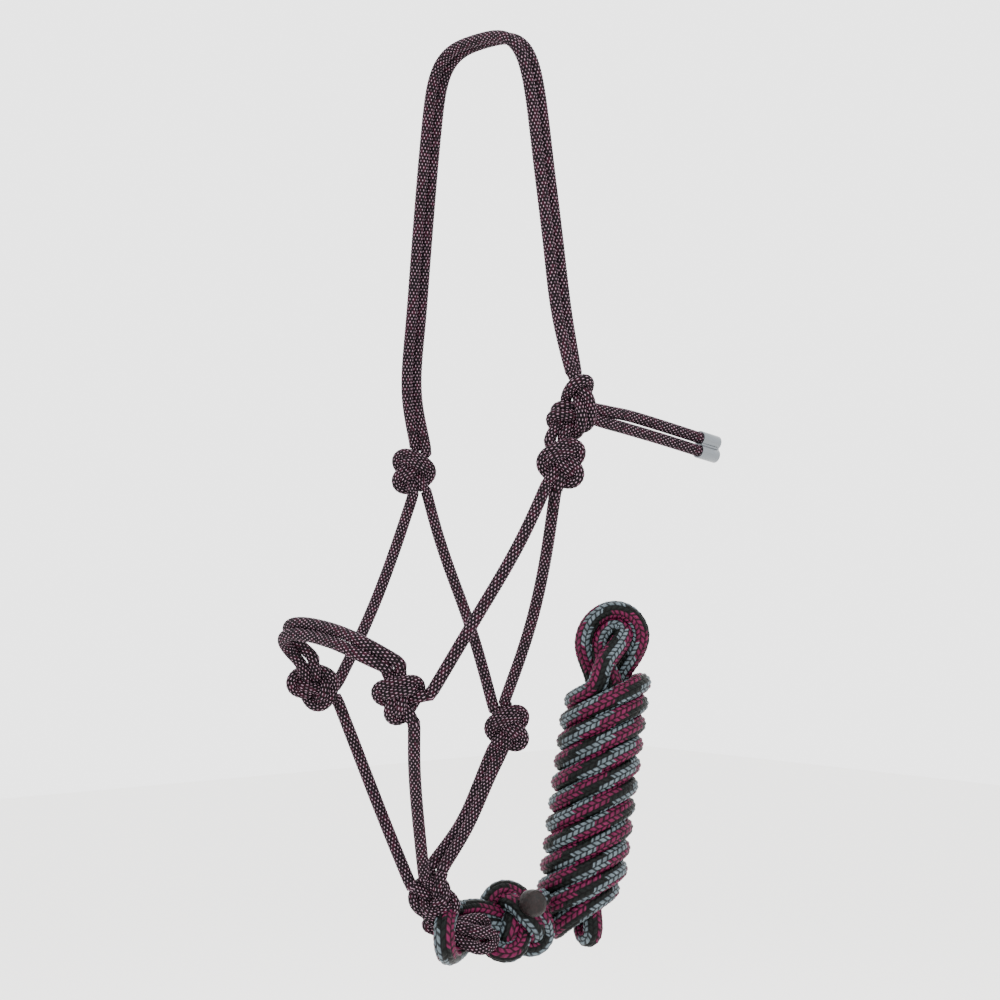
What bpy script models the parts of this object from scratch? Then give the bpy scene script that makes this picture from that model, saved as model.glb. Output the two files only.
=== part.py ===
"""Rope halter with its lead rope.

One long 8 mm braided cord is knotted into the halter: a doubled crown over the
poll, two cheek knots, a sheet bend with its tail and crimped ferrule on the near
side, a noseband between two nose knots, a throat knot and a fiador knot under the
chin.  A 14 mm lead rope is looped and knotted to the two fiador loops, and the
rest of it is wound into a hank.

The horse faces -X and its near side is -Y.  +Z is up.  The origin is the poll
rest: the underside of the crown at the top of the head.
"""

import math

import bmesh
import bpy
import numpy as np
from mathutils import Vector

MM = 0.001

# Driving dimensions, in millimetres.
CORD_DIAMETER = 8.0
LEAD_DIAMETER = 14.0
PAIR_OFFSET = 4.25          # centre to middle of two cords that lie side by side
FACE_GAP = 0.4              # between pieces that touch
CHEEK_KNOT_RADIUS = 14.5
TIE_RADIUS = 17.5
TIE_HOLE_RADIUS = 9.0
NOSE_KNOT_RADIUS = 16.0
THROAT_KNOT_RADIUS = 13.5
FIADOR_KNOT_RADIUS = 17.0
LEAD_KNOT_RADIUS = 27.0
HANK_RADIUS = 32.0
HANK_WRAPS = 11
EYE_RING_RADIUS = 20.5
HANK_TAIL_DIAMETER = 19.0
FERRULE_LENGTH = 15.5
FERRULE_WALL = 1.0
FERRULE_BORE_CLEARANCE = 0.3
END_CAP_LENGTH = 9.0

# Knot centres.
FAR_CHEEK = Vector((0.6, 84.0, -294.0))
NEAR_CHEEK = Vector((0.6, -84.0, -296.5))
TIE = Vector((12.0, -84.0, -262.0))
FAR_NOSE = Vector((-106.0, 48.0, -443.5))
NEAR_NOSE = Vector((-106.0, -48.0, -445.5))
THROAT = Vector((24.0, 0.0, -475.6))
FIADOR = Vector((-38.0, 0.0, -586.0))
LEAD_KNOT = Vector((37.0, 0.0, -616.0))
HANK_BOTTOM = Vector((92.0, 0.0, -607.0))
HANK_TOP = Vector((122.2, 0.0, -443.8))

# Joint axes, all parallel to Y.
CHEEK_AXIS = Vector((0.6, 0.0, -294.0))
NOSE_AXIS = Vector((-106.0, 0.0, -444.5))
LEAD_AXIS = Vector((-24.0, 0.0, -612.0))

# Middle of the doubled crown cord, from the far cheek knot to the tie.
CROWN_ROUTE = [
    (-2.0, 77.0, -236.0), (-3.0, 68.5, -175.0), (-4.0, 59.0, -108.0),
    (-4.0, 51.0, -52.0), (-2.0, 46.5, -15.0), (-0.5, 37.5, 0.5),
    (0.0, 20.0, 4.6), (0.0, 0.0, 4.0), (0.0, -22.0, 2.5), (0.5, -38.0, -2.5),
    (3.0, -47.5, -17.0), (7.5, -50.5, -45.0), (11.0, -55.0, -94.0),
    (13.0, -61.5, -143.0), (13.5, -69.0, -192.0),
]
FAR_CHEEK_ROUTE = [(-9.5, 80.0, -337.0), (-28.7, 72.0, -373.0),
                   (-54.6, 61.0, -408.0)]
NEAR_CHEEK_ROUTE = [(-14.0, -82.5, -330.0), (-33.0, -80.0, -354.0),
                    (-53.3, -75.0, -380.0), (-68.0, -68.0, -408.0)]
FAR_THROAT_ROUTE = [(13.2, 62.0, -351.5), (20.5, 38.0, -398.0),
                    (22.5, 19.0, -436.5)]
NEAR_THROAT_ROUTE = [(9.0, -60.0, -355.0), (18.0, -33.0, -407.0),
                     (22.5, -15.0, -443.0)]
DROP_ROUTE = [(3.6, 0.0, -510.7), (-13.2, 0.0, -540.0)]
FAR_CHIN_ROUTE = [(-84.0, 42.0, -482.3), (-69.0, 28.5, -518.0),
                  (-55.3, 13.5, -549.0)]
NEAR_CHIN_ROUTE = [(-87.5, -37.5, -487.5), (-71.0, -22.5, -522.6),
                   (-56.0, -10.0, -552.0)]
NOSEBAND_ROUTE = [(-127.0, 48.5, -413.0), (-135.0, 42.0, -405.0),
                  (-133.0, 24.0, -403.5), (-129.0, 0.0, -406.5),
                  (-128.0, -26.0, -411.5), (-124.5, -43.0, -418.0)]
TAIL_ROUTE = [(63.0, -84.0, -266.0), (97.0, -84.0, -271.5)]
TAIL_END = Vector((146.0, -84.0, -280.0))
LEAD_EYE_ROUTE = [
    (8.0, 14.0, -603.0), (-1.0, 14.0, -597.0), (-9.0, 5.0, -591.5),
    (-15.5, -10.0, -590.5), (-23.5, -19.0, -598.5), (-30.0, -20.5, -613.0),
    (-26.0, -17.0, -627.0), (-14.0, -5.0, -635.5), (-2.0, 9.5, -633.5),
    (8.0, 14.0, -625.0),
]
STRETCH_ROUTE = [(66.5, 13.0, -611.0), (74.0, 18.0, -613.5)]
HANK_TAIL_OFFSET = 15.0      # the folded end, from the hank's axis
HANK_TAIL_LENGTH = 24.0


def linear(hex_colour):
    """Turn an sRGB hex colour into a linear RGBA tuple."""
    channels = [int(hex_colour[i:i + 2], 16) / 255.0 for i in (1, 3, 5)]
    return tuple(c / 12.92 if c <= 0.04045 else ((c + 0.055) / 1.055) ** 2.4
                 for c in channels) + (1.0,)


def make_material(name, hex_colour, roughness, metallic=0.0):
    """Make one Principled material."""
    material = bpy.data.materials.new(name)
    material.use_nodes = True
    shader = material.node_tree.nodes["Principled BSDF"]
    shader.inputs["Base Color"].default_value = linear(hex_colour)
    shader.inputs["Roughness"].default_value = roughness
    shader.inputs["Metallic"].default_value = metallic
    return material


class Body:
    """A rigid group of pieces, whose empty stands on its joint's axis."""

    def __init__(self, name, pivot, collection):
        self.pivot = pivot
        self.collection = collection
        self.empty = bpy.data.objects.new(name + "_pivot", None)
        self.empty.location = pivot * MM
        collection.objects.link(self.empty)

    def add(self, item, material):
        """Parent an object, whose place is given from the pivot."""
        item.data.materials.append(material)
        item.parent = self.empty
        self.collection.objects.link(item)
        return item


def smooth_route(route, spacing):
    """Points about one spacing apart on a Catmull-Rom curve through a route."""
    knots = [np.array(point, dtype=float) for point in route]
    padded = [2 * knots[0] - knots[1]] + knots + [2 * knots[-1] - knots[-2]]
    points = []
    for before, start, end, after in zip(padded, padded[1:], padded[2:], padded[3:]):
        steps = max(1, round(np.linalg.norm(end - start) / spacing))
        for step in range(steps):
            t = step / steps
            points.append(0.5 * (2 * start + (end - before) * t
                                 + (2 * before - 5 * start + 4 * end - after) * t ** 2
                                 + (3 * start - before - 3 * end + after) * t ** 3))
    points.append(knots[-1])
    return points


def cord(name, body, material, route, diameter, spacing=None, resolution=2):
    """A round cord along a route, as a bevelled curve with filled caps."""
    curve = bpy.data.curves.new(name, "CURVE")
    curve.dimensions = "3D"
    curve.bevel_depth = diameter / 2 * MM
    curve.bevel_resolution = resolution
    curve.use_fill_caps = True
    points = smooth_route(route, spacing or 3 * diameter)
    spline = curve.splines.new("POLY")
    spline.points.add(len(points) - 1)
    for target, point in zip(spline.points, points):
        target.co = ((Vector(point) - body.pivot) * MM).to_4d()
    return body.add(bpy.data.objects.new(name, curve), material)


def square_to(direction, offset):
    """An offset turned square to a direction, at its full length."""
    along = Vector(direction).normalized()
    sideways = Vector(offset) - along * Vector(offset).dot(along)
    return sideways.normalized() * Vector(offset).length


def entry(centre, radius, towards, offset=(0.0, 0.0, 0.0)):
    """Where a cord's end face meets a knot: square to a line from its centre."""
    direction = (Vector(towards) - centre).normalized()
    face = centre + direction * (radius + FACE_GAP) + square_to(direction, offset)
    return face, face + direction * 4.0


def between(start_entry, route, end_entry):
    """A route that leaves one knot square to it and enters the next the same way."""
    return [*start_entry, *[Vector(point) for point in route], *reversed(end_entry)]


def shifted(route, offset):
    """A route moved sideways, so that a pair of cords stays the same distance apart."""
    points = [Vector(point) for point in route]
    moved = []
    for index, point in enumerate(points):
        along = points[min(index + 1, len(points) - 1)] - points[max(index - 1, 0)]
        moved.append(point + square_to(along, offset))
    return moved


def turned(name, body, material, profile, centre, axis, sides=16):
    """Spin a profile of (radius, height) points, listed from the top down."""
    mesh = bpy.data.meshes.new(name)
    shape = bmesh.new()
    ring = [shape.verts.new((radius * MM, 0.0, height * MM))
            for radius, height in profile]
    closed = profile[0][0] > 0.0
    if closed:
        ring.append(ring[0])
    for upper, lower in zip(ring, ring[1:]):
        shape.edges.new((upper, lower))
    shape.to_mesh(mesh)
    shape.free()
    item = body.add(bpy.data.objects.new(name, mesh), material)
    item.location = (centre - body.pivot) * MM
    item.rotation_mode = "QUATERNION"
    item.rotation_quaternion = Vector(axis).to_track_quat("Z", "Y")
    screw = item.modifiers.new("turn", "SCREW")
    screw.steps = sides
    screw.render_steps = sides
    screw.use_merge_vertices = True
    screw.merge_threshold = 0.00005
    screw.use_smooth_shade = True
    return item


def ball_profile(radius, turns, depth, hole=0.0):
    """Half outline of a ball with a groove between each of its turns of cord."""
    steps = 4 * turns
    first = math.asin(hole / radius)
    profile = []
    for step in range(steps + 1):
        angle = first + (math.pi - 2 * first) * step / steps
        dip = depth * abs(math.cos(math.pi * step / 4)) if 0 < step < steps else 0.0
        reach = radius - dip
        profile.append((reach * math.sin(angle), reach * math.cos(angle)))
    if hole == 0.0:
        profile[0] = (0.0, radius)
        profile[-1] = (0.0, -radius)
    return profile


def barrel_profile(radius, length, turns, depth):
    """Half outline of a round hank with a groove between its wraps."""
    profile = [(0.0, length), (radius - depth - 3.0, length)]
    for turn in range(turns):
        top = length - length * turn / turns
        pitch = length / turns
        profile.append((radius - depth, top - 0.12 * pitch))
        profile.append((radius, top - 0.5 * pitch))
    profile.append((radius - depth, 0.06 * length / turns))
    profile += [(radius - depth - 3.0, 0.0), (0.0, 0.0)]
    return profile


def knot(name, body, material, centre, radius, axis, turns=3):
    """A knot's closed ball, grooved where its turns lie."""
    profile = ball_profile(radius, turns, 0.1 * radius)
    return turned(name, body, material, profile, centre, axis, sides=14)


def pair(direction):
    """The two sideways offsets of doubled cords."""
    step = Vector(direction).normalized() * PAIR_OFFSET
    return step, -step


def build_crown(body, material):
    """The doubled crown cord, the sheet bend and the loop that it is tied to."""
    for name, side in zip(("crown_cord_rear", "crown_cord_front"), pair((1, 0, 0))):
        start = entry(FAR_CHEEK, CHEEK_KNOT_RADIUS, CROWN_ROUTE[0], side)
        end = entry(TIE, TIE_RADIUS, CROWN_ROUTE[-1], side)
        cord(name, body, material, between(start, shifted(CROWN_ROUTE, side), end),
             CORD_DIAMETER)
    axis = (TIE - NEAR_CHEEK).normalized()
    turned("tie_bend", body, material,
           ball_profile(TIE_RADIUS, 3, 1.6, TIE_HOLE_RADIUS), TIE, axis, sides=16)
    across = axis.cross(Vector((0, 1, 0))).normalized() * (PAIR_OFFSET + 0.1)
    foot = NEAR_CHEEK + axis * (CHEEK_KNOT_RADIUS + FACE_GAP)
    top = TIE + axis * (TIE_RADIUS - 12.0)
    turn = [top + across * math.cos(angle) + axis * across.length * math.sin(angle)
            for angle in np.linspace(0.0, math.pi, 7)]
    cord("tie_loop", body, material, [foot + across, *turn, foot - across],
         CORD_DIAMETER, spacing=16.0)


def build_tail(body, cord_material, metal):
    """The crown cord's two tails and the crimped sleeve at their ends."""
    direction = (TAIL_END - Vector(TAIL_ROUTE[-1])).normalized()
    stack = direction.cross(Vector((0, 1, 0))).normalized()
    if stack.z < 0:
        stack = -stack
    for name, side in zip(("tail_cord_upper", "tail_cord_lower"), (1, -1)):
        offset = stack * side * (PAIR_OFFSET + 0.35)
        start = entry(TIE, TIE_RADIUS, TAIL_ROUTE[0], offset)
        route = [*start, *shifted(TAIL_ROUTE, offset), TAIL_END + offset]
        cord(name, body, cord_material, route, CORD_DIAMETER)
    bore = CORD_DIAMETER / 2 + FERRULE_BORE_CLEARANCE
    half = PAIR_OFFSET + 0.35
    outer = bore + FERRULE_WALL
    waist = math.acos(half / outer) + 0.2
    outline = []
    for side in (1, -1):
        centre = math.pi / 2 * side
        sweep = math.pi - waist
        for angle in np.linspace(centre - sweep, centre + sweep, 15):
            outline.append((outer * math.cos(angle), side * half + outer * math.sin(angle)))
    rings = [outline]
    for side in (1, -1):
        rings.append([(bore * math.cos(angle), side * half + bore * math.sin(angle))
                      for angle in np.linspace(0, 2 * math.pi, 13)[:-1]])
    curve = bpy.data.curves.new("tail_ferrule", "CURVE")
    curve.dimensions = "2D"
    curve.fill_mode = "BOTH"
    curve.extrude = FERRULE_LENGTH / 2 * MM
    for ring in rings:
        spline = curve.splines.new("POLY")
        spline.points.add(len(ring) - 1)
        spline.use_cyclic_u = True
        for target, (across, up) in zip(spline.points, ring):
            target.co = (across * MM, up * MM, 0.0, 1.0)
    item = body.add(bpy.data.objects.new("tail_ferrule", curve), metal)
    middle = TAIL_END - direction * (FERRULE_LENGTH / 2 + 0.3)
    item.location = (middle - body.pivot) * MM
    item.rotation_mode = "QUATERNION"
    item.rotation_quaternion = direction.to_track_quat("Z", "Y")


def build_face(body, material):
    """Cheek, throat, nose and fiador knots, and the cords between them."""
    knot("cheek_knot_far", body, material, FAR_CHEEK, CHEEK_KNOT_RADIUS, (0, 0, 1))
    knot("cheek_knot_near", body, material, NEAR_CHEEK, CHEEK_KNOT_RADIUS, (0, 0, 1))
    knot("nose_knot_far", body, material, FAR_NOSE, NOSE_KNOT_RADIUS, (-0.4, 0, 0.9))
    knot("nose_knot_near", body, material, NEAR_NOSE, NOSE_KNOT_RADIUS, (-0.4, 0, 0.9))
    knot("throat_knot", body, material, THROAT, THROAT_KNOT_RADIUS, (0.5, 0, 0.86))
    knot("fiador_knot", body, material, FIADOR, FIADOR_KNOT_RADIUS, (-0.3, 0, 0.9), 4)
    build_sides(body, material)
    build_chin(body, material)


def build_sides(body, material):
    """Each side's cheek cord to the nose and throat cord to the throat knot."""
    sides = (
        ("far", FAR_CHEEK, FAR_NOSE, FAR_CHEEK_ROUTE, FAR_THROAT_ROUTE, 1),
        ("near", NEAR_CHEEK, NEAR_NOSE, NEAR_CHEEK_ROUTE, NEAR_THROAT_ROUTE, -1),
    )
    for side, cheek, nose, cheek_route, throat_route, sign in sides:
        below = cheek + Vector((0, 0, -1))
        start = entry(cheek, CHEEK_KNOT_RADIUS, below, (-PAIR_OFFSET, 0, 0))
        end = entry(nose, NOSE_KNOT_RADIUS, cheek_route[-1])
        cord("cheek_cord_" + side, body, material, between(start, cheek_route, end),
             CORD_DIAMETER)
        start = entry(cheek, CHEEK_KNOT_RADIUS, below, (PAIR_OFFSET, 0, 0))
        above = THROAT + Vector((0, 0, 1))
        end = entry(THROAT, THROAT_KNOT_RADIUS, above, (0, sign * PAIR_OFFSET, 0))
        cord("throat_cord_" + side, body, material, between(start, throat_route, end),
             CORD_DIAMETER)


def build_chin(body, material):
    """The doubled throat drop and the two chin cords, all into the fiador knot."""
    for name, side in zip(("throat_drop_cord_rear", "throat_drop_cord_front"),
                          pair((0.64, 0.77, 0.0))):
        start = entry(THROAT, THROAT_KNOT_RADIUS, DROP_ROUTE[0], side)
        end = entry(FIADOR, FIADOR_KNOT_RADIUS, DROP_ROUTE[-1], side)
        cord(name, body, material, between(start, shifted(DROP_ROUTE, side), end),
             CORD_DIAMETER)
    chin_middle = FIADOR + Vector((-0.38, 0.0, 0.92))
    chins = (("far", FAR_NOSE, FAR_CHIN_ROUTE, 1), ("near", NEAR_NOSE, NEAR_CHIN_ROUTE, -1))
    for side, nose, route, sign in chins:
        start = entry(nose, NOSE_KNOT_RADIUS, route[0])
        end = entry(FIADOR, FIADOR_KNOT_RADIUS, chin_middle, (0, sign * PAIR_OFFSET, 0))
        cord("chin_cord_" + side, body, material, between(start, route, end),
             CORD_DIAMETER)
    build_fiador_loops(body, material)


def build_fiador_loops(body, material):
    """The fiador knot's two loops, side by side, that the lead is fastened to."""
    outward = Vector((0.6, 0.0, -0.8))
    across = Vector((0.8, 0.0, 0.6))
    face = FIADOR + outward * (FIADOR_KNOT_RADIUS + FACE_GAP)
    for name, start_y, end_y in (("fiador_loop_front", -3.4, -10.0),
                                 ("fiador_loop_rear", 5.6, -0.8)):
        side = Vector((0.0, start_y, 0.0))
        turn = [Vector((-4.0 + 9.0 * math.sin(angle), end_y, -615.0 + 9.5 * math.cos(angle)))
                for angle in np.linspace(0.1, math.pi - 0.1, 6)]
        upper = face + across * PAIR_OFFSET + side
        lower = face - across * PAIR_OFFSET + side
        route = [upper, upper + outward * 3.0, upper + outward * 7.0, *turn, lower + outward * 10.0,
                 lower + outward * 3.0, lower]
        cord(name, body, material, route, CORD_DIAMETER, spacing=8.0)


def build_noseband(body, material):
    """The doubled noseband, one cord above the other."""
    for name, rise in (("noseband_cord_upper", 1), ("noseband_cord_lower", -1)):
        offset = Vector((0.45, 0.0, 0.9)).normalized() * rise * (PAIR_OFFSET + 0.3)
        start = entry(FAR_NOSE, NOSE_KNOT_RADIUS, NOSEBAND_ROUTE[0], offset)
        end = entry(NEAR_NOSE, NOSE_KNOT_RADIUS, NOSEBAND_ROUTE[-1], offset)
        cord(name, body, material, between(start, shifted(NOSEBAND_ROUTE, offset), end),
             CORD_DIAMETER, spacing=14.0)


def build_lead(body, rope, sealed):
    """The lead rope's eye round the fiador loops, its knot and its sealed end."""
    cord("lead_eye", body, rope, LEAD_EYE_ROUTE, LEAD_DIAMETER, spacing=10.0)
    knot("lead_knot", body, rope, LEAD_KNOT, LEAD_KNOT_RADIUS, (0.5, -0.3, 0.8), 4)
    outward = Vector((-0.25, -0.83, 0.5)).normalized()
    radius = LEAD_DIAMETER / 2
    profile = [(0.0, END_CAP_LENGTH), (0.6 * radius, END_CAP_LENGTH - 0.4),
               (0.92 * radius, END_CAP_LENGTH - 2.2), (radius, END_CAP_LENGTH - 5.0),
               (radius, 0.0), (0.0, 0.0)]
    foot = LEAD_KNOT + outward * (LEAD_KNOT_RADIUS + FACE_GAP)
    turned("lead_end_cap", body, sealed, profile, foot, outward, sides=14)


def build_hank(body, rope):
    """The stretch up from the lead knot, the wound hank, its eye and its tail."""
    start = entry(LEAD_KNOT, LEAD_KNOT_RADIUS, STRETCH_ROUTE[0])
    cord("lead_stretch", body, rope, [*start, *STRETCH_ROUTE[1:]], LEAD_DIAMETER,
         spacing=14.0)
    lean = HANK_TOP - HANK_BOTTOM
    turned("lead_hank", body, rope,
           barrel_profile(HANK_RADIUS, lean.length, HANK_WRAPS, 2.5),
           HANK_BOTTOM, lean, sides=16)
    up = lean.normalized()
    outer = EYE_RING_RADIUS + LEAD_DIAMETER / 2
    centre = HANK_TOP + up * (outer + FACE_GAP)
    section = [(EYE_RING_RADIUS + LEAD_DIAMETER / 2 * math.cos(angle),
                LEAD_DIAMETER / 2 * math.sin(angle))
               for angle in np.linspace(math.pi, -math.pi, 11)[:-1]]
    turned("lead_hank_eye", body, rope, section, centre, (0.64, 0.77, 0), sides=18)
    right = Vector((up.z, 0.0, -up.x))
    foot = HANK_BOTTOM + right * HANK_TAIL_OFFSET - up * FACE_GAP
    tip = foot + Vector((0.15, 0.0, -1.0)) * HANK_TAIL_LENGTH
    cord("lead_hank_tail", body, rope, [foot, foot - up * 8.0, tip],
         HANK_TAIL_DIAMETER, spacing=10.0, resolution=3)


def main():
    """Build every piece of the halter and its lead."""
    for item in list(bpy.data.objects):
        bpy.data.objects.remove(item, do_unlink=True)
    collection = bpy.data.collections.new("rope_halter")
    bpy.context.scene.collection.children.link(collection)

    halter_cord = make_material("halter_cord", "#2b2228", 0.75)
    lead_rope = make_material("lead_rope", "#5a2542", 0.7)
    metal = make_material("ferrule_metal", "#b8babd", 0.35, 1.0)
    sealed = make_material("sealed_end", "#1b1512", 0.3)

    build_crown(Body("crown", Vector((0, 0, 0)), collection), halter_cord)
    build_tail(Body("tail", TIE, collection), halter_cord, metal)
    build_face(Body("face", CHEEK_AXIS, collection), halter_cord)
    build_noseband(Body("noseband", NOSE_AXIS, collection), halter_cord)
    build_lead(Body("lead", LEAD_AXIS, collection), lead_rope, sealed)
    build_hank(Body("hank", LEAD_KNOT, collection), lead_rope)


main()
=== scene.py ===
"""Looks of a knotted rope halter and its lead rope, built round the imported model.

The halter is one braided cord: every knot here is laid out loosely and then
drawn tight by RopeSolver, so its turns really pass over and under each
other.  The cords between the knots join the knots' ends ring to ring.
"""

import itertools
import logging
import math
from dataclasses import dataclass, field
from enum import Enum
from typing import ClassVar, Sequence

import bpy
import mathutils
import numpy as np
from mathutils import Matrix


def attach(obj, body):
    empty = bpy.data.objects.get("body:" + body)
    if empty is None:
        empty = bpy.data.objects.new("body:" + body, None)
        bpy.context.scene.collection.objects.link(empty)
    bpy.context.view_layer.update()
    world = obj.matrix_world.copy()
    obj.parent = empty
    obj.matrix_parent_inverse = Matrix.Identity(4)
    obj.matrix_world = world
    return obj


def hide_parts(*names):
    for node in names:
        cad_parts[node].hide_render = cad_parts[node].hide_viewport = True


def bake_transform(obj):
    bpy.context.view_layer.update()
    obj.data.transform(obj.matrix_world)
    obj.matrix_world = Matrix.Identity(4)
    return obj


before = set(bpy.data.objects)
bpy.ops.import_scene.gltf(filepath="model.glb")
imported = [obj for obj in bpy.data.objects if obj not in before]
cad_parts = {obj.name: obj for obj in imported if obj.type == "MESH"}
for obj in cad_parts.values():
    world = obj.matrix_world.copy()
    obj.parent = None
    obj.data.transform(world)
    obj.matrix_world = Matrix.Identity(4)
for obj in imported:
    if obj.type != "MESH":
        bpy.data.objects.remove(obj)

LOG = logging.getLogger("rope_halter")
MM = 0.001
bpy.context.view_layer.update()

Vec = np.ndarray
Path = np.ndarray

# Directions in the frame's axes, as seen by a viewer at the halter's near left side.
UP: Vec = np.array([0.0, 0.0, 1.0])
RIGHT: Vec = np.array([0.766, -0.643, 0.0])
FRONT: Vec = np.array([-0.643, -0.766, 0.0])

# The plan's own sizes and places, in millimetres.
CORD = 8.0
LEAD = 14.0
PAIR = 4.25  # half the distance between doubled cords
FAR_CHEEK = np.array([0.6, 84.0, -294.0])
NEAR_CHEEK = np.array([0.6, -84.0, -296.5])
TIE = np.array([12.0, -84.0, -262.0])
FAR_NOSE = np.array([-106.0, 48.0, -443.5])
NEAR_NOSE = np.array([-106.0, -48.0, -445.5])
THROAT = np.array([24.0, 0.0, -475.6])
FIADOR = np.array([-38.0, 0.0, -586.0])
LEAD_KNOT = np.array([37.0, 0.0, -616.0])
HANK_BOTTOM = np.array([92.0, 0.0, -607.0])
HANK_TOP = np.array([122.2, 0.0, -443.8])

CROWN_ROUTE = [
    (-2.0, 77.0, -236.0), (-3.0, 68.5, -175.0), (-4.0, 59.0, -108.0),
    (-4.0, 51.0, -52.0), (-2.0, 46.5, -15.0), (-0.5, 37.5, 0.5),
    (0.0, 20.0, 4.6), (0.0, 0.0, 4.0), (0.0, -22.0, 2.5), (0.5, -38.0, -2.5),
    (3.0, -47.5, -17.0), (7.5, -50.5, -45.0), (11.0, -55.0, -94.0),
    (13.0, -61.5, -143.0), (13.5, -69.0, -192.0),
]
FAR_CHEEK_ROUTE = [(-9.5, 80.0, -337.0), (-28.7, 72.0, -373.0), (-54.6, 61.0, -408.0)]
NEAR_CHEEK_ROUTE = [(-14.0, -82.5, -330.0), (-33.0, -80.0, -354.0),
                    (-53.3, -75.0, -380.0), (-68.0, -68.0, -408.0)]
FAR_THROAT_ROUTE = [(13.2, 62.0, -351.5), (20.5, 38.0, -398.0), (22.5, 19.0, -436.5)]
NEAR_THROAT_ROUTE = [(9.0, -60.0, -355.0), (18.0, -33.0, -407.0), (22.5, -15.0, -443.0)]
DROP_ROUTE = [(3.6, 0.0, -510.7), (-13.2, 0.0, -540.0)]
FAR_CHIN_ROUTE = [(-84.0, 42.0, -482.3), (-69.0, 28.5, -518.0), (-55.3, 13.5, -549.0)]
NEAR_CHIN_ROUTE = [(-87.5, -37.5, -487.5), (-71.0, -22.5, -522.6), (-56.0, -10.0, -552.0)]
NOSEBAND_ROUTE = [(-127.0, 48.5, -413.0), (-135.0, 42.0, -405.0),
                  (-133.0, 24.0, -403.5), (-129.0, 0.0, -406.5),
                  (-128.0, -26.0, -411.5), (-124.5, -43.0, -418.0)]
TAIL_ROUTE = [(63.0, -84.0, -266.0), (97.0, -84.0, -271.5)]
TAIL_END = np.array([146.0, -84.0, -280.0])

# How the cords are laid between knots: how much of a route is dropped near a knot, how
# far a cord runs straight out of one, and how many times it is eased.
TAUT_CLEAR, EASY_CLEAR = 30.0, 14.0
TAUT_ROUNDS, EASY_ROUNDS = 500, 60
STRAIGHT_OUT = 5.0
LOOSE_STEP = 3.0  # the distance between the points of a knot that is laid out loosely


def unit(vector: Sequence[float]) -> Vec:
    """Return a vector at length one."""
    array = np.asarray(vector, dtype=float)
    return array / np.linalg.norm(array)


def path_length(path: Path) -> float:
    """Return the length of a path of points."""
    return float(np.linalg.norm(np.diff(path, axis=0), axis=1).sum())


def resample(path: Path, count: int) -> Path:
    """Spread a path's points evenly.

    Args:
        path: The points to follow.
        count: How many points to return.

    Returns:
        The new points.
    """
    steps = np.linalg.norm(np.diff(path, axis=0), axis=1)
    along = np.concatenate([[0.0], np.cumsum(steps)])
    wanted = np.linspace(0.0, along[-1], count)
    return np.stack([np.interp(wanted, along, path[:, axis]) for axis in range(3)], 1)


def smooth_path(route: Sequence[Sequence[float]], spacing: float = 2.0) -> Path:
    """Draw a Catmull-Rom curve through a route.

    Args:
        route: The given points, in millimetres.
        spacing: The rough distance between the returned points.

    Returns:
        Evenly spread points on the curve.
    """
    knots = [np.asarray(point, dtype=float) for point in route]
    padded = [2 * knots[0] - knots[1]] + knots + [2 * knots[-1] - knots[-2]]
    points = []
    for before, start, end, after in zip(padded, padded[1:], padded[2:], padded[3:]):
        steps = max(3, round(float(np.linalg.norm(end - start)) / spacing))
        for t in np.arange(steps) / steps:
            points.append(0.5 * (2 * start + (end - before) * t
                                 + (2 * before - 5 * start + 4 * end - after) * t ** 2
                                 + (3 * start - before - 3 * end + after) * t ** 3))
    points.append(knots[-1])
    path = np.array(points)
    return resample(path, max(4, round(path_length(path) / spacing) + 1))


def square_to(direction: Vec, offset: Vec) -> Vec:
    """Turn an offset square to a direction, at its full length.

    Args:
        direction: The direction to be square to.
        offset: The offset to turn.

    Returns:
        The turned offset.
    """
    along = unit(direction)
    sideways = offset - along * float(offset @ along)
    return unit(sideways) * float(np.linalg.norm(offset))


def shifted(route: Sequence[Sequence[float]], offset: Vec) -> list[Vec]:
    """Move a route sideways, so that doubled cords keep their distance.

    Args:
        route: The route's points.
        offset: How far to move it, turned square to the route.

    Returns:
        The moved route's points.
    """
    points = [np.asarray(point, dtype=float) for point in route]
    moved = []
    for index, point in enumerate(points):
        along = points[min(index + 1, len(points) - 1)] - points[max(index - 1, 0)]
        moved.append(point + square_to(along, offset))
    return moved


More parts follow.
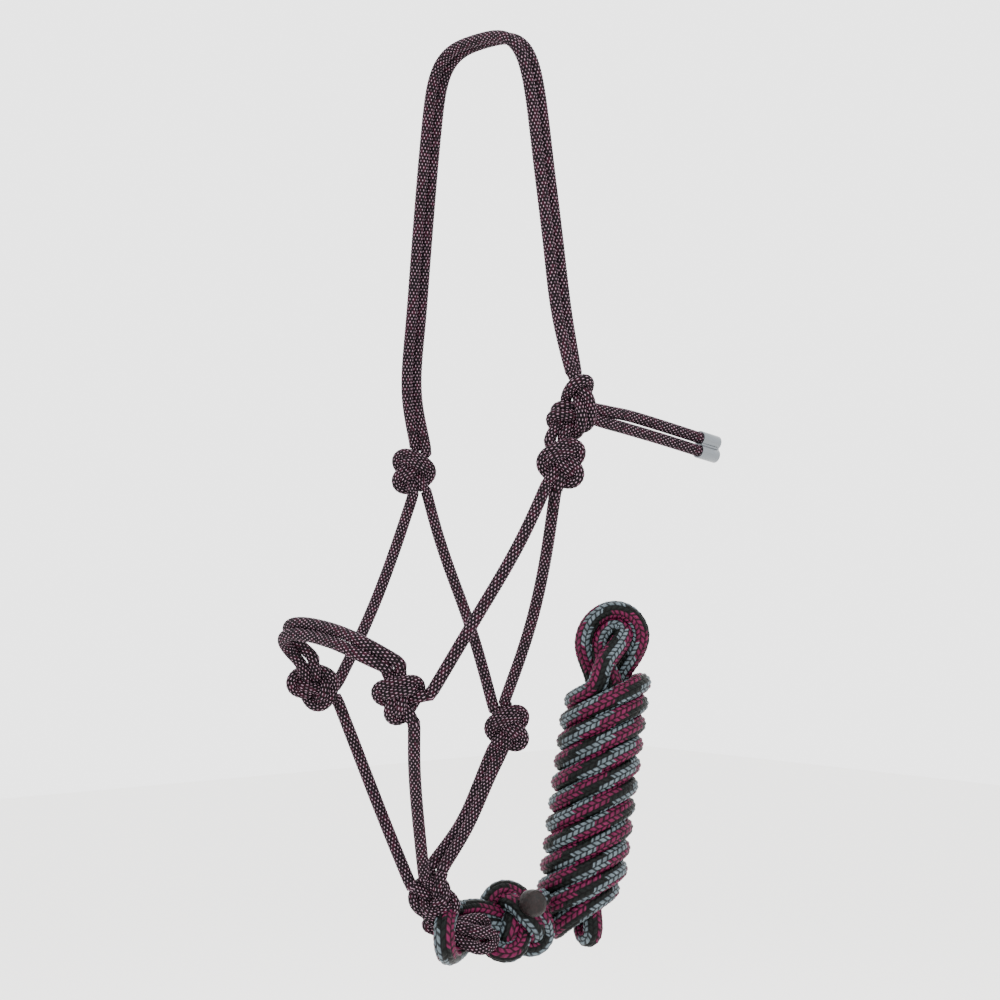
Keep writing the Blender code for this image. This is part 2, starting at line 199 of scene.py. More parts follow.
@dataclass
class RopeSolver:
    """Draws loose turns of cord tight until the cords touch.

    Attributes:
        diameter: The cord's diameter in millimetres.
        step: The distance between a path's points.
        squeeze: The share of the diameter at which touching cords stop.
        pull: How hard each round shortens the cords.
        stiffness: How hard each round straightens sharp bends.
        hold: How many points at each end stay where they are.
    """

    diameter: float
    step: float = 2.2
    squeeze: float = 0.95
    pull: float = 0.4
    stiffness: float = 0.3
    hold: int = 3

    def spread(self, path: Path) -> Path:
        """Return a path with its points one step apart."""
        return resample(path, max(10, round(path_length(path) / self.step) + 1))

    def tighten(self, paths: list[Path], rounds: int, anchor: Vec | None = None) -> list[Path]:
        """Shorten the cords against each other.

        Args:
            paths: The cords' centre lines.
            rounds: How many rounds to run.
            anchor: Where the knot's middle is kept.

        Returns:
            The tightened centre lines.
        """
        gap = self.diameter * self.squeeze
        reach = int(math.ceil(1.7 * self.diameter / self.step))
        for turn in range(rounds):
            if turn % 10 == 0:
                if anchor is not None:
                    paths = self._moved(paths, 0.5 * (anchor - self.middle(paths)))
                paths = [self.spread(path) for path in paths]
                points = np.concatenate(paths)
                cord_of = np.repeat(np.arange(len(paths)), [len(p) for p in paths])
                place = np.concatenate([np.arange(len(p)) for p in paths])
                left = np.concatenate([np.arange(len(p))[::-1] for p in paths])
                inside = np.minimum(place, left)
                free = inside >= self.hold
                bending = np.flatnonzero(free & (inside > 1))
                first, second = np.triu_indices(len(points), 1)
                apart = cord_of[first] != cord_of[second]
                apart |= np.abs(place[first] - place[second]) > reach
                first, second = first[apart], second[apart]
                far = np.linalg.norm(points[first] - points[second], axis=1)
                first, second = first[far < 2.5 * gap], second[far < 2.5 * gap]
            moving = np.flatnonzero(free)
            middle = 0.5 * (points[moving - 1] + points[moving + 1])
            points[moving] += self.pull * (middle - points[moving])
            bend = (4 * (points[bending - 1] + points[bending + 1])
                    - points[bending - 2] - points[bending + 2] - 6 * points[bending])
            points[bending] += self.stiffness * bend / 16
            for _ in range(4):
                self._push_apart(points, first, second, gap, free)
            ends = np.cumsum([len(path) for path in paths])[:-1]
            paths = np.split(points.copy(), ends)
        return paths

    def middle(self, paths: list[Path]) -> Vec:
        """Find the middle of the knot: the mean of where the cords bend hard.

        Args:
            paths: The cords' centre lines.

        Returns:
            The knot's middle.
        """
        tight = []
        for path in map(self.spread, paths):
            reach = max(2, round(self.diameter / self.step))
            bends = np.linalg.norm(path[:-2 * reach] - 2 * path[reach:-reach]
                                   + path[2 * reach:], axis=1)
            tight.append(path[reach:-reach][bends > 0.45 * self.diameter])
        return np.concatenate(tight).mean(axis=0)

    @staticmethod
    def _moved(paths: list[Path], move: Vec) -> list[Path]:
        """Move a knot without its far ends.

        Args:
            paths: The cords' centre lines.
            move: How far the knot moves.

        Returns:
            The moved centre lines.
        """
        moved = []
        for path in paths:
            steps = np.linalg.norm(np.diff(path, axis=0), axis=1)
            along = np.concatenate([[0.0], np.cumsum(steps)])
            share = np.clip(np.minimum(along, along[-1] - along) / 40.0, 0.0, 1.0)
            moved.append(path + share[:, None] * move)
        return moved

    @staticmethod
    def _push_apart(points: Path, first: Vec, second: Vec, gap: float, free: Vec) -> None:
        """Move the points of touching cords out of each other.

        Args:
            points: The points of every cord, which are moved in place.
            first: The number of the first point of each pair.
            second: The number of the second point of each pair.
            gap: The least distance of two points of a pair.
            free: Which points may move.
        """
        across = points[second] - points[first]
        far = np.linalg.norm(across, axis=1)
        close = far < gap
        if not close.any():
            return
        one, other = first[close], second[close]
        push = across[close] * (0.5 * (gap - far[close]) / np.maximum(far[close], 1e-6))[:, None]
        total = np.zeros_like(points)
        count = np.zeros(len(points))
        np.add.at(total, one, -push)
        np.add.at(total, other, push)
        np.add.at(count, one, 1)
        np.add.at(count, other, 1)
        share = np.where(free, 1.0 / np.sqrt(np.maximum(count, 1.0)), 0.0)
        points += total * share[:, None]


def drawn_tight(paths: list[Path], thick: float, rounds: int, last_rounds: int,
                anchor: Vec | None = None) -> list[Path]:
    """Draw cords tight, first in long steps and then in short ones.

    Args:
        paths: The cords' centre lines.
        thick: The cords' width where they touch.
        rounds: How many rounds to run in long steps.
        last_rounds: How many more to run in short steps.
        anchor: Where the knot's middle is kept.

    Returns:
        The tightened centre lines.
    """
    coarse = RopeSolver(thick, 0.5 * thick, stiffness=0.2, pull=0.45)
    fine = RopeSolver(thick, 0.3 * thick, stiffness=0.2)
    return fine.tighten(coarse.tighten(paths, rounds, anchor), last_rounds, anchor)


class Weave(Enum):
    """The two braids of the halter."""

    HALTER_CORD = "halter_cord"
    LEAD_ROPE = "lead_rope"


@dataclass(frozen=True)
class BraidedTube:
    """A braided cord's surface: how many stitches it has and how they stand up.

    Attributes:
        weave: Which braid it is.
        diameter: The cord's diameter in millimetres.
        columns: Stitch columns round the cord.
        pick: The length of one stitch along the cord, in millimetres.
        relief: How far a stitch stands up, in millimetres.
        sides: Points round the cord.
        step: The distance between rings, in millimetres.
    """

    weave: Weave
    diameter: float
    columns: int
    pick: float
    relief: float
    sides: int
    step: float

    def height(self, across: Vec, along: Vec) -> Vec:
        """Return how far the stitches stand up.

        Args:
            across: The place round the cord, in columns.
            along: The place along the cord, in stitches.

        Returns:
            The height, in millimetres.
        """
        if self.weave is Weave.HALTER_CORD:
            wave = np.cos(2 * np.pi * across) * np.cos(2 * np.pi * along)
            return self.relief * (np.abs(wave) ** 0.7 - 0.5)
        column = np.floor(across)
        inner = across - column - 0.5
        lean = np.where(column % 2 > 0.5, 0.5, -0.5)
        stitch = along + lean * (inner + 0.5)
        swell = 0.5 + 0.5 * np.cos(2 * np.pi * stitch)
        return self.relief * (np.cos(np.pi * inner) * (0.55 + 0.45 * swell) - 0.5)

    def mesh_parts(self, path: Path, slim: float = 1.0) -> tuple[Path, Vec, Vec, int]:
        """Sweep the braid along a path.

        Args:
            path: The cord's centre line, in millimetres.
            slim: How thin the cord is drawn between its ends, as a share of its diameter.

        Returns:
            Vertices, quads, the quads' UV corners and the number of rings.
        """
        length = path_length(path)
        rings = max(6, round(length / self.step) + 1)
        fine = resample(relaxed(path), rings)
        tangent = unit_rows(np.gradient(fine, axis=0))
        normal = carried_frame(tangent)
        binormal = np.cross(tangent, normal)
        angle = np.linspace(0.0, 2 * np.pi, self.sides, endpoint=False)
        picks = max(1, round(length / self.pick))
        along = np.linspace(0.0, picks, rings)
        across = angle / (2 * np.pi) * self.columns
        rise = self.height(*np.meshgrid(across, along))
        near = np.minimum(np.arange(rings), np.arange(rings)[::-1]) * length / (rings - 1)
        drawn = np.clip(near / (1.6 * self.diameter), 0.0, 1.0)
        thin = 1 - (1 - slim) * drawn ** 2 * (3 - 2 * drawn)
        radius = thin[:, None] * (self.diameter / 2 + rise)
        turn = angle[None, :]
        ring = (np.cos(turn)[..., None] * normal[:, None, :]
                + np.sin(turn)[..., None] * binormal[:, None, :])
        vertices = (fine[:, None, :] + radius[..., None] * ring).reshape(-1, 3)
        base = np.arange(rings - 1)[:, None] * self.sides
        side = np.arange(self.sides)[None, :]
        following = (side + 1) % self.sides
        quads = np.stack([base + side, base + following,
                          base + self.sides + following, base + self.sides + side], -1)
        u = np.stack([side, side + 1, side + 1, side], -1) / self.sides * self.columns
        u = np.broadcast_to(u, quads.shape)
        v = np.stack([along[:-1], along[:-1], along[1:], along[1:]], -1)[:, None, :]
        v = np.broadcast_to(v, quads.shape)
        corners = np.stack([u, v], -1).reshape(-1, 2)
        return vertices, quads.reshape(-1, 4), corners, rings


def unit_rows(rows: Path) -> Path:
    """Bring each row to length one."""
    return rows / np.maximum(np.linalg.norm(rows, axis=1), 1e-9)[:, None]


def relaxed(path: Path) -> Path:
    """Take the last small corners out of a path, with its ends held.

    Args:
        path: The path.

    Returns:
        The smoother path.
    """
    smooth = path.copy()
    for _ in range(3):
        smooth[1:-1] = 0.25 * smooth[:-2] + 0.5 * smooth[1:-1] + 0.25 * smooth[2:]
    smooth[1] = path[1]
    smooth[-2] = path[-2]
    return smooth


REFERENCE: Vec = unit((0.31, 0.87, 0.38))


def carried_frame(tangent: Path) -> Path:
    """Carry a side direction along a path without twist, then share out what is left.

    Both ends finish on the same fixed rule, so two cords that meet end to end
    meet ring to ring.

    Args:
        tangent: The path's direction at each point.

    Returns:
        The side direction at each point.
    """
    first = square_to(tangent[0], REFERENCE)
    last = square_to(tangent[-1], REFERENCE)
    carried = [first]
    for direction in tangent[1:]:
        carried.append(unit(carried[-1] - direction * float(carried[-1] @ direction)))
    frames = np.array(carried)
    sideways = np.cross(tangent[-1], frames[-1])
    miss = math.atan2(float(last @ sideways), float(last @ frames[-1]))
    turn = np.linspace(0.0, miss, len(tangent))
    across = np.cross(tangent, frames)
    return np.cos(turn)[:, None] * frames + np.sin(turn)[:, None] * across


HALTER_BRAID = BraidedTube(Weave.HALTER_CORD, CORD, 10, 4.6, 0.4, 40, 0.77)
LEAD_BRAID = BraidedTube(Weave.LEAD_ROPE, LEAD, 12, 4.2, 0.9, 48, 1.6)


def braided_piece(name: str, braid: BraidedTube, paths: Sequence[Path],
                  material: bpy.types.Material, slim: float = 1.0) -> bpy.types.Object:
    """Make one piece of one or more braided cords.

    Args:
        name: The piece's name.
        braid: The braid to sweep.
        paths: The cords' centre lines, in millimetres.
        material: The braid's finish.
        slim: How thin a tight knot draws its cords, as a share of their diameter.

    Returns:
        The new object, with its place in its mesh.
    """
    vertices: list[Path] = []
    faces: list[Vec] = []
    corners: list[Vec] = []
    sizes: list[Vec] = []
    offset = 0
    for path in paths:
        points, quads, uv, rings = braid.mesh_parts(path, slim)
        vertices.append(points)
        faces.append((quads + offset).reshape(-1))
        sizes.append(np.full(len(quads), 4))
        corners.append(uv)
        start = np.arange(braid.sides)[::-1] + offset
        end = np.arange(braid.sides) + offset + (rings - 1) * braid.sides
        faces.append(np.concatenate([start, end]))
        sizes.append(np.full(2, braid.sides))
        corners.append(np.full((2 * braid.sides, 2), 0.25))
        offset += len(points)
    mesh = bpy.data.meshes.new(name)
    points = np.concatenate(vertices) * MM
    loops = np.concatenate(faces).astype(np.int32)
    counts = np.concatenate(sizes).astype(np.int32)
    mesh.vertices.add(len(points))
    mesh.vertices.foreach_set("co", points.astype(np.float32).reshape(-1))
    mesh.loops.add(len(loops))
    mesh.loops.foreach_set("vertex_index", loops)
    mesh.polygons.add(len(counts))
    mesh.polygons.foreach_set("loop_start", np.concatenate([[0], np.cumsum(counts)[:-1]])
                              .astype(np.int32))
    mesh.update(calc_edges=True)
    layer = mesh.uv_layers.new(name="UVMap")
    layer.data.foreach_set("uv", np.concatenate(corners).astype(np.float32).reshape(-1))
    mesh.validate()
    mesh.shade_smooth()
    mesh.materials.append(material)
    piece = bpy.data.objects.new(name, mesh)
    bpy.context.scene.collection.objects.link(piece)
    return piece


# ---------------------------------------------------------------- finishes


def linear(hex_colour: str) -> tuple[float, float, float, float]:
    """Turn an sRGB hex colour into linear RGBA.

    Args:
        hex_colour: The colour, as a hash sign and six hex digits.

    Returns:
        The colour's red, green, blue and alpha.
    """
    channels = [int(hex_colour[i:i + 2], 16) / 255.0 for i in (1, 3, 5)]
    low = [c / 12.92 if c <= 0.04045 else ((c + 0.055) / 1.055) ** 2.4 for c in channels]
    return (low[0], low[1], low[2], 1.0)


def add_node(tree: bpy.types.NodeTree, kind: str, settings: dict[str, object] | None = None,
             **inputs: object) -> bpy.types.Node:
    """Add one shader node.

    Args:
        tree: The material's node tree.
        kind: The node's type name.
        settings: Properties of the node itself.
        **inputs: Values or output sockets for its inputs. in0, in1 and so on
            name an input by its number, and other names have _ for a space.

    Returns:
        The new node.
    """
    node = tree.nodes.new(kind)
    for key, value in (settings or {}).items():
        setattr(node, key, value)
    for key, value in inputs.items():
        socket = (node.inputs[int(key[2:])] if key[:2] == "in" and key[2:].isdigit()
                  else node.inputs[key.replace("_", " ")])
        if isinstance(value, bpy.types.NodeSocket):
            tree.links.new(value, socket)
        else:
            socket.default_value = value
    return node


def set_ramp(node: bpy.types.Node, stops: Sequence[tuple[float, str]]) -> None:
    """Set a colour ramp's stops.

    Args:
        node: The colour ramp.
        stops: Each stop's place, from 0 to 1, and its sRGB hex colour.
    """
    elements = node.color_ramp.elements
    while len(elements) < len(stops):
        elements.new(0.5)
    for element, (place, colour) in zip(elements, stops):
        element.position = place
        element.color = linear(colour)


def new_material(name: str) -> tuple[bpy.types.Material, bpy.types.NodeTree, bpy.types.Node]:
    """Make a material and return it with its tree and its Principled shader.

    Args:
        name: The material's name.

    Returns:
        The material, its tree and its shader.
    """
    material = bpy.data.materials.new(name)
    material.use_nodes = True
    return material, material.node_tree, material.node_tree.nodes["Principled BSDF"]


@dataclass(frozen=True)
class BraidedPolyesterCord:
    """Tight braided polyester cord, plum-black with pale pink tick yarns.

    The hard twisted yarn gives a dry surface with no sheen. Its colour holds a painted
    highlight on each stitch's crown and painted shade, near black, between the stitches.

    Attributes:
        gap: The colour deep between the stitches, painted shade.
        ground: The colour of a stitch's flanks.
        stitch: The colour of a stitch's crown, a painted highlight.
        maroon: The colour of the few stitches in dark red yarn.
        tick: The colour of the pale yarn.
        roughness: The yarn's roughness.
        specular: How much of the usual reflection loose fibres leave.
    """

    gap: str = "#050304"
    ground: str = "#080507"
    stitch: str = "#170d13"
    maroon: str = "#260a16"
    tick: str = "#7d6773"
    roughness: float = 0.7
    specular: float = 0.06

    def make(self) -> bpy.types.Material:
        """Make the cord's material.

        Returns:
            The new material.
        """
        material, tree, shader = new_material("braided_polyester_cord")
        uv = add_node(tree, "ShaderNodeUVMap", {"uv_map": "UVMap"})
        split = add_node(tree, "ShaderNodeSeparateXYZ", None, Vector=uv.outputs[0])
        waves = []
        for axis in (0, 1):
            turn = add_node(tree, "ShaderNodeMath", {"operation": "MULTIPLY"},
                            in0=split.outputs[axis], in1=2 * math.pi)
            waves.append(add_node(tree, "ShaderNodeMath", {"operation": "COSINE"},
                                  in0=turn.outputs[0]))
        wave = add_node(tree, "ShaderNodeMath", {"operation": "MULTIPLY"},
                        in0=waves[0].outputs[0], in1=waves[1].outputs[0])
        crown = add_node(tree, "ShaderNodeMath", {"operation": "ABSOLUTE"}, in0=wave.outputs[0])
        # One random value for each stitch: stitches are half a column and half a pick apart.
        doubled = add_node(tree, "ShaderNodeVectorMath", {"operation": "MULTIPLY_ADD"},
                           in0=uv.outputs[0], in1=(2.0, 2.0, 0.0), in2=(0.5, 0.5, 0.0))
        cell = add_node(tree, "ShaderNodeVectorMath", {"operation": "FLOOR"},
                        in0=doubled.outputs[0])
        random = add_node(tree, "ShaderNodeTexWhiteNoise", {"noise_dimensions": "2D"},
                          Vector=cell.outputs[0])
        yarn = add_node(tree, "ShaderNodeTexNoise", {"noise_dimensions": "2D"},
                        Vector=uv.outputs[0], Scale=5.0, Detail=3.0)
        # Painted shade and painted highlight: near black between the stitches, lighter on their
        # crowns.
        ground = add_node(tree, "ShaderNodeValToRGB", None, Fac=crown.outputs[0])
        set_ramp(ground, ((0.08, self.gap), (0.4, self.ground), (0.85, self.stitch)))
        warm = add_node(tree, "ShaderNodeMapRange", None, Value=random.outputs["Value"],
                        From_Min=0.72, From_Max=0.9)
        reds = add_node(tree, "ShaderNodeMix", {"data_type": "RGBA"}, in0=warm.outputs[0],
                        in6=ground.outputs[0], in7=linear(self.maroon))
        lit = add_node(tree, "ShaderNodeMapRange", {"interpolation_type": "SMOOTHSTEP"},
                       Value=wave.outputs[0], From_Min=0.5, From_Max=0.8)
        worn = add_node(tree, "ShaderNodeMapRange", None, Value=random.outputs["Value"],
                        From_Min=0.0, From_Max=0.45, To_Min=0.25, To_Max=1.0)
        mask = add_node(tree, "ShaderNodeMath", {"operation": "MULTIPLY"},
                        in0=lit.outputs[0], in1=worn.outputs[0])
        colour = add_node(tree, "ShaderNodeMix", {"data_type": "RGBA"}, in0=mask.outputs[0],
                          in6=reds.outputs[2], in7=linear(self.tick))
        height = add_node(tree, "ShaderNodeMath", {"operation": "MULTIPLY_ADD"},
                          in0=yarn.outputs[0], in1=0.35, in2=crown.outputs[0])
        bump = add_node(tree, "ShaderNodeBump", None, Height=height.outputs[0],
                        Strength=0.6, Distance=0.0003)
        tree.links.new(colour.outputs[2], shader.inputs["Base Color"])
        tree.links.new(bump.outputs[0], shader.inputs["Normal"])
        shader.inputs["Roughness"].default_value = self.roughness
        shader.inputs["Specular IOR Level"].default_value = self.specular
        return material


@dataclass(frozen=True)
class BraidedLeadRope:
    """Soft multifilament polypropylene rope, braided in three colours.

    Each colour is a band two stitches wide that winds slowly round the rope.  The
    filaments are fine and lie along the stitch, and each stitch has a soft painted
    sheen along them; painted shade darkens the folds between stitches and the
    gaps between stitch columns.

    Attributes:
        magenta: The first band's colour.
        grey: The second band's colour.
        black: The third band's colour.
        roughness: The filaments' roughness.
        specular: How much of the usual reflection loose fibres leave.
        creep: How many columns a band moves round the rope with each stitch.
    """

    magenta: str = "#470d2a"
    grey: str = "#475055"
    black: str = "#080b0a"
    roughness: float = 0.55
    specular: float = 0.08
    creep: float = 0.3

    def make(self) -> bpy.types.Material:
        """Make the rope's material.

        Returns:
            The new material.
        """
        material, tree, shader = new_material("braided_multifilament_rope")
        uv = add_node(tree, "ShaderNodeUVMap", {"uv_map": "UVMap"})
        split = add_node(tree, "ShaderNodeSeparateXYZ", None, Vector=uv.outputs[0])
        column = add_node(tree, "ShaderNodeMath", {"operation": "FLOOR"}, in0=split.outputs[0])
        inner = add_node(tree, "ShaderNodeMath", {"operation": "FRACT"}, in0=split.outputs[0])
        odd = add_node(tree, "ShaderNodeMath", {"operation": "FLOORED_MODULO"},
                       in0=column.outputs[0], in1=2.0)
        lean = add_node(tree, "ShaderNodeMath", {"operation": "SUBTRACT"},
                        in0=odd.outputs[0], in1=0.5)
        slant = add_node(tree, "ShaderNodeMath", {"operation": "MULTIPLY"},
                         in0=lean.outputs[0], in1=inner.outputs[0])
        stitch = add_node(tree, "ShaderNodeMath", {"operation": "ADD"},
                          in0=split.outputs[1], in1=slant.outputs[0])
        turn = add_node(tree, "ShaderNodeMath", {"operation": "MULTIPLY"},
                        in0=stitch.outputs[0], in1=2 * math.pi)
        swell = add_node(tree, "ShaderNodeMath", {"operation": "COSINE"}, in0=turn.outputs[0])
        edge = add_node(tree, "ShaderNodeMath", {"operation": "PINGPONG"},
                        in0=split.outputs[0], in1=0.5)
        first = add_node(tree, "ShaderNodeMath", {"operation": "FLOOR"}, in0=stitch.outputs[0])
        # The three colours take six columns, so they come twice round the rope's twelve.
        creep = add_node(tree, "ShaderNodeMath", {"operation": "MULTIPLY_ADD"},
                         in0=first.outputs[0], in1=self.creep, in2=column.outputs[0])
        share = add_node(tree, "ShaderNodeMath", {"operation": "MULTIPLY"},
                         in0=creep.outputs[0], in1=1.0 / 6.0)
        band = add_node(tree, "ShaderNodeMath", {"operation": "FRACT"}, in0=share.outputs[0])
        ramp = add_node(tree, "ShaderNodeValToRGB", None, Fac=band.outputs[0])
        ramp.color_ramp.interpolation = "CONSTANT"
        set_ramp(ramp, ((0.0, self.magenta), (0.4, self.grey), (0.74, self.black)))
        cell = add_node(tree, "ShaderNodeCombineXYZ", None, X=column.outputs[0],
                        Y=first.outputs[0])
        random = add_node(tree, "ShaderNodeTexWhiteNoise", {"noise_dimensions": "2D"},
                          Vector=cell.outputs[0])
        fibre_place = add_node(tree, "ShaderNodeVectorMath", {"operation": "MULTIPLY"},
                               in0=uv.outputs[0], in1=(9.0, 1.4, 0.0))
        fibre = add_node(tree, "ShaderNodeTexNoise", {"noise_dimensions": "2D"},
                         Vector=fibre_place.outputs[0], Scale=1.0, Detail=3.0)
        light = add_node(tree, "ShaderNodeMapRange", None, Value=random.outputs["Value"],
                         To_Min=0.72, To_Max=1.2)
        # Painted sheen: lighter and darker bands along the filaments.
        sheen_streak = add_node(tree, "ShaderNodeMapRange", None, Value=fibre.outputs[0],
                          From_Min=0.3, From_Max=0.7, To_Min=0.65, To_Max=1.3)
        # Painted shade: darker towards the edges of each stitch column, in the gaps between
        # columns.
        gap = add_node(tree, "ShaderNodeMapRange", {"interpolation_type": "SMOOTHSTEP"},
                       Value=edge.outputs[0], From_Min=0.02, From_Max=0.24,
                       To_Min=0.15, To_Max=1.0)
        # Painted shade in the folds between stitches along the rope, with a faint painted
        # highlight over their crowns; the same values shape the bump.
        fold_shade_and_relief = add_node(tree, "ShaderNodeMapRange", {"interpolation_type": "SMOOTHSTEP"},
                        Value=swell.outputs[0], From_Min=-1.0, From_Max=0.1,
                        To_Min=0.12, To_Max=1.1)
        # The brightness: random per stitch, times the painted sheen and the painted shade.
        shade = light
        for other in (sheen_streak, gap, fold_shade_and_relief):
            shade = add_node(tree, "ShaderNodeMath", {"operation": "MULTIPLY"},
                             in0=shade.outputs[0], in1=other.outputs[0])
        colour = add_node(tree, "ShaderNodeVectorMath", {"operation": "SCALE"},
                          in0=ramp.outputs[0], Scale=shade.outputs[0])
        height = add_node(tree, "ShaderNodeMath", {"operation": "MULTIPLY_ADD"},
                          in0=fibre.outputs[0], in1=0.6, in2=fold_shade_and_relief.outputs[0])
        bump = add_node(tree, "ShaderNodeBump", None, Height=height.outputs[0],
                        Strength=0.7, Distance=0.0004)
        tree.links.new(colour.outputs[0], shader.inputs["Base Color"])
        tree.links.new(bump.outputs[0], shader.inputs["Normal"])
        shader.inputs["Roughness"].default_value = self.roughness
        shader.inputs["Specular IOR Level"].default_value = self.specular
        return material


@dataclass(frozen=True)
class CrimpedAluminium:
    """Drawn aluminium sleeve, crimped on the cord.

    Drawing leaves a bright grey skin with fine lines along the sleeve, so its
    highlights are soft and streaky.

    Attributes:
        colour: The metal's colour.
        roughness: The roughness between the draw lines.
    """

    colour: str = "#6a6e72"
    roughness: float = 0.32

    def make(self) -> bpy.types.Material:
        """Make the sleeve's material.

        Returns:
            The new material.
        """
        material, tree, shader = new_material("crimped_aluminium")
        place = add_node(tree, "ShaderNodeTexCoord")
        # Draw lines run along the sleeve; real ones are 0.1 mm apart, drawn at 0.4 mm to show.
        mapped = add_node(tree, "ShaderNodeMapping", None, Vector=place.outputs["Object"],
                          Scale=(120.0, 2500.0, 2500.0), Rotation=(0.0, -0.17, 0.0))
        lines = add_node(tree, "ShaderNodeTexNoise", None, Vector=mapped.outputs[0],
                         Scale=1.0, Detail=2.0)
        rough = add_node(tree, "ShaderNodeMapRange", None, Value=lines.outputs[0],
                         To_Min=self.roughness - 0.08, To_Max=self.roughness + 0.16)
        bump = add_node(tree, "ShaderNodeBump", None, Height=lines.outputs[0],
                        Strength=0.25, Distance=0.0002)
        tree.links.new(rough.outputs[0], shader.inputs["Roughness"])
        tree.links.new(bump.outputs[0], shader.inputs["Normal"])
        shader.inputs["Base Color"].default_value = linear(self.colour)
        shader.inputs["Metallic"].default_value = 1.0
        return material


@dataclass(frozen=True)
class MeltedRopeEnd:
    """Polypropylene rope melted over a flame: near black, waxy and a little lumpy.

    Attributes:
        colour: The colour of the melted plastic.
        char: The browner colour of its lumps.
        roughness: Its roughness, between that of glass and of wax.
        specular: How much of the usual reflection its sooty skin leaves.
    """

    colour: str = "#060404"
    char: str = "#170c0c"
    roughness: float = 0.5
    specular: float = 0.16

    def make(self) -> bpy.types.Material:
        """Make the melted end's material.

        Returns:
            The new material.
        """
        material, tree, shader = new_material("melted_rope_end")
        place = add_node(tree, "ShaderNodeTexCoord")
        # Lumps about 2 mm across, as the plastic beads when it melts.
        lumps = add_node(tree, "ShaderNodeTexNoise", None, Vector=place.outputs["Object"],
                         Scale=480.0, Detail=4.0)
        ramp = add_node(tree, "ShaderNodeValToRGB", None, Fac=lumps.outputs[0])
        set_ramp(ramp, ((0.35, self.colour), (0.7, self.char)))
        bump = add_node(tree, "ShaderNodeBump", None, Height=lumps.outputs[0],
                        Strength=0.8, Distance=0.0008)
        tree.links.new(ramp.outputs[0], shader.inputs["Base Color"])
        tree.links.new(bump.outputs[0], shader.inputs["Normal"])
        shader.inputs["Roughness"].default_value = self.roughness
        shader.inputs["Specular IOR Level"].default_value = self.specular
        return material


@dataclass(frozen=True)
class Finishes:
    """Every finish that the halter and its lead rope use.

    Attributes:
        cord: The halter's braided cord.
        rope: The lead rope.
        sleeve: The metal sleeve on the tails.
        sealed: The lead rope's melted end.
    """

    cord: bpy.types.Material
    rope: bpy.types.Material
    sleeve: bpy.types.Material
    sealed: bpy.types.Material

    @classmethod
    def build(cls) -> "Finishes":
        """Make the finishes."""
        return cls(BraidedPolyesterCord().make(), BraidedLeadRope().make(),
                   CrimpedAluminium().make(), MeltedRopeEnd().make())


# ---------------------------------------------------------------- knots


@dataclass
class Port:
    """A place where one piece of cord ends and the next begins.

    Attributes:
        place: Where the cord's middle is, in millimetres.
        outward: The way the cord leaves the knot.
    """

    place: Vec
    outward: Vec


def best_order(found: Sequence[Vec], wanted: Sequence[Vec]) -> list[int]:
    """Match places one to one, so that the cords between them are short.

    Args:
        found: Places to give out.
        wanted: Places that each need one.

    Returns:
        For each found place, the index of its wanted place.
    """
    orders = itertools.permutations(range(len(wanted)))
    return list(min(orders, key=lambda order: sum(
        float(np.linalg.norm(place - wanted[index])) for place, index in zip(found, order))))


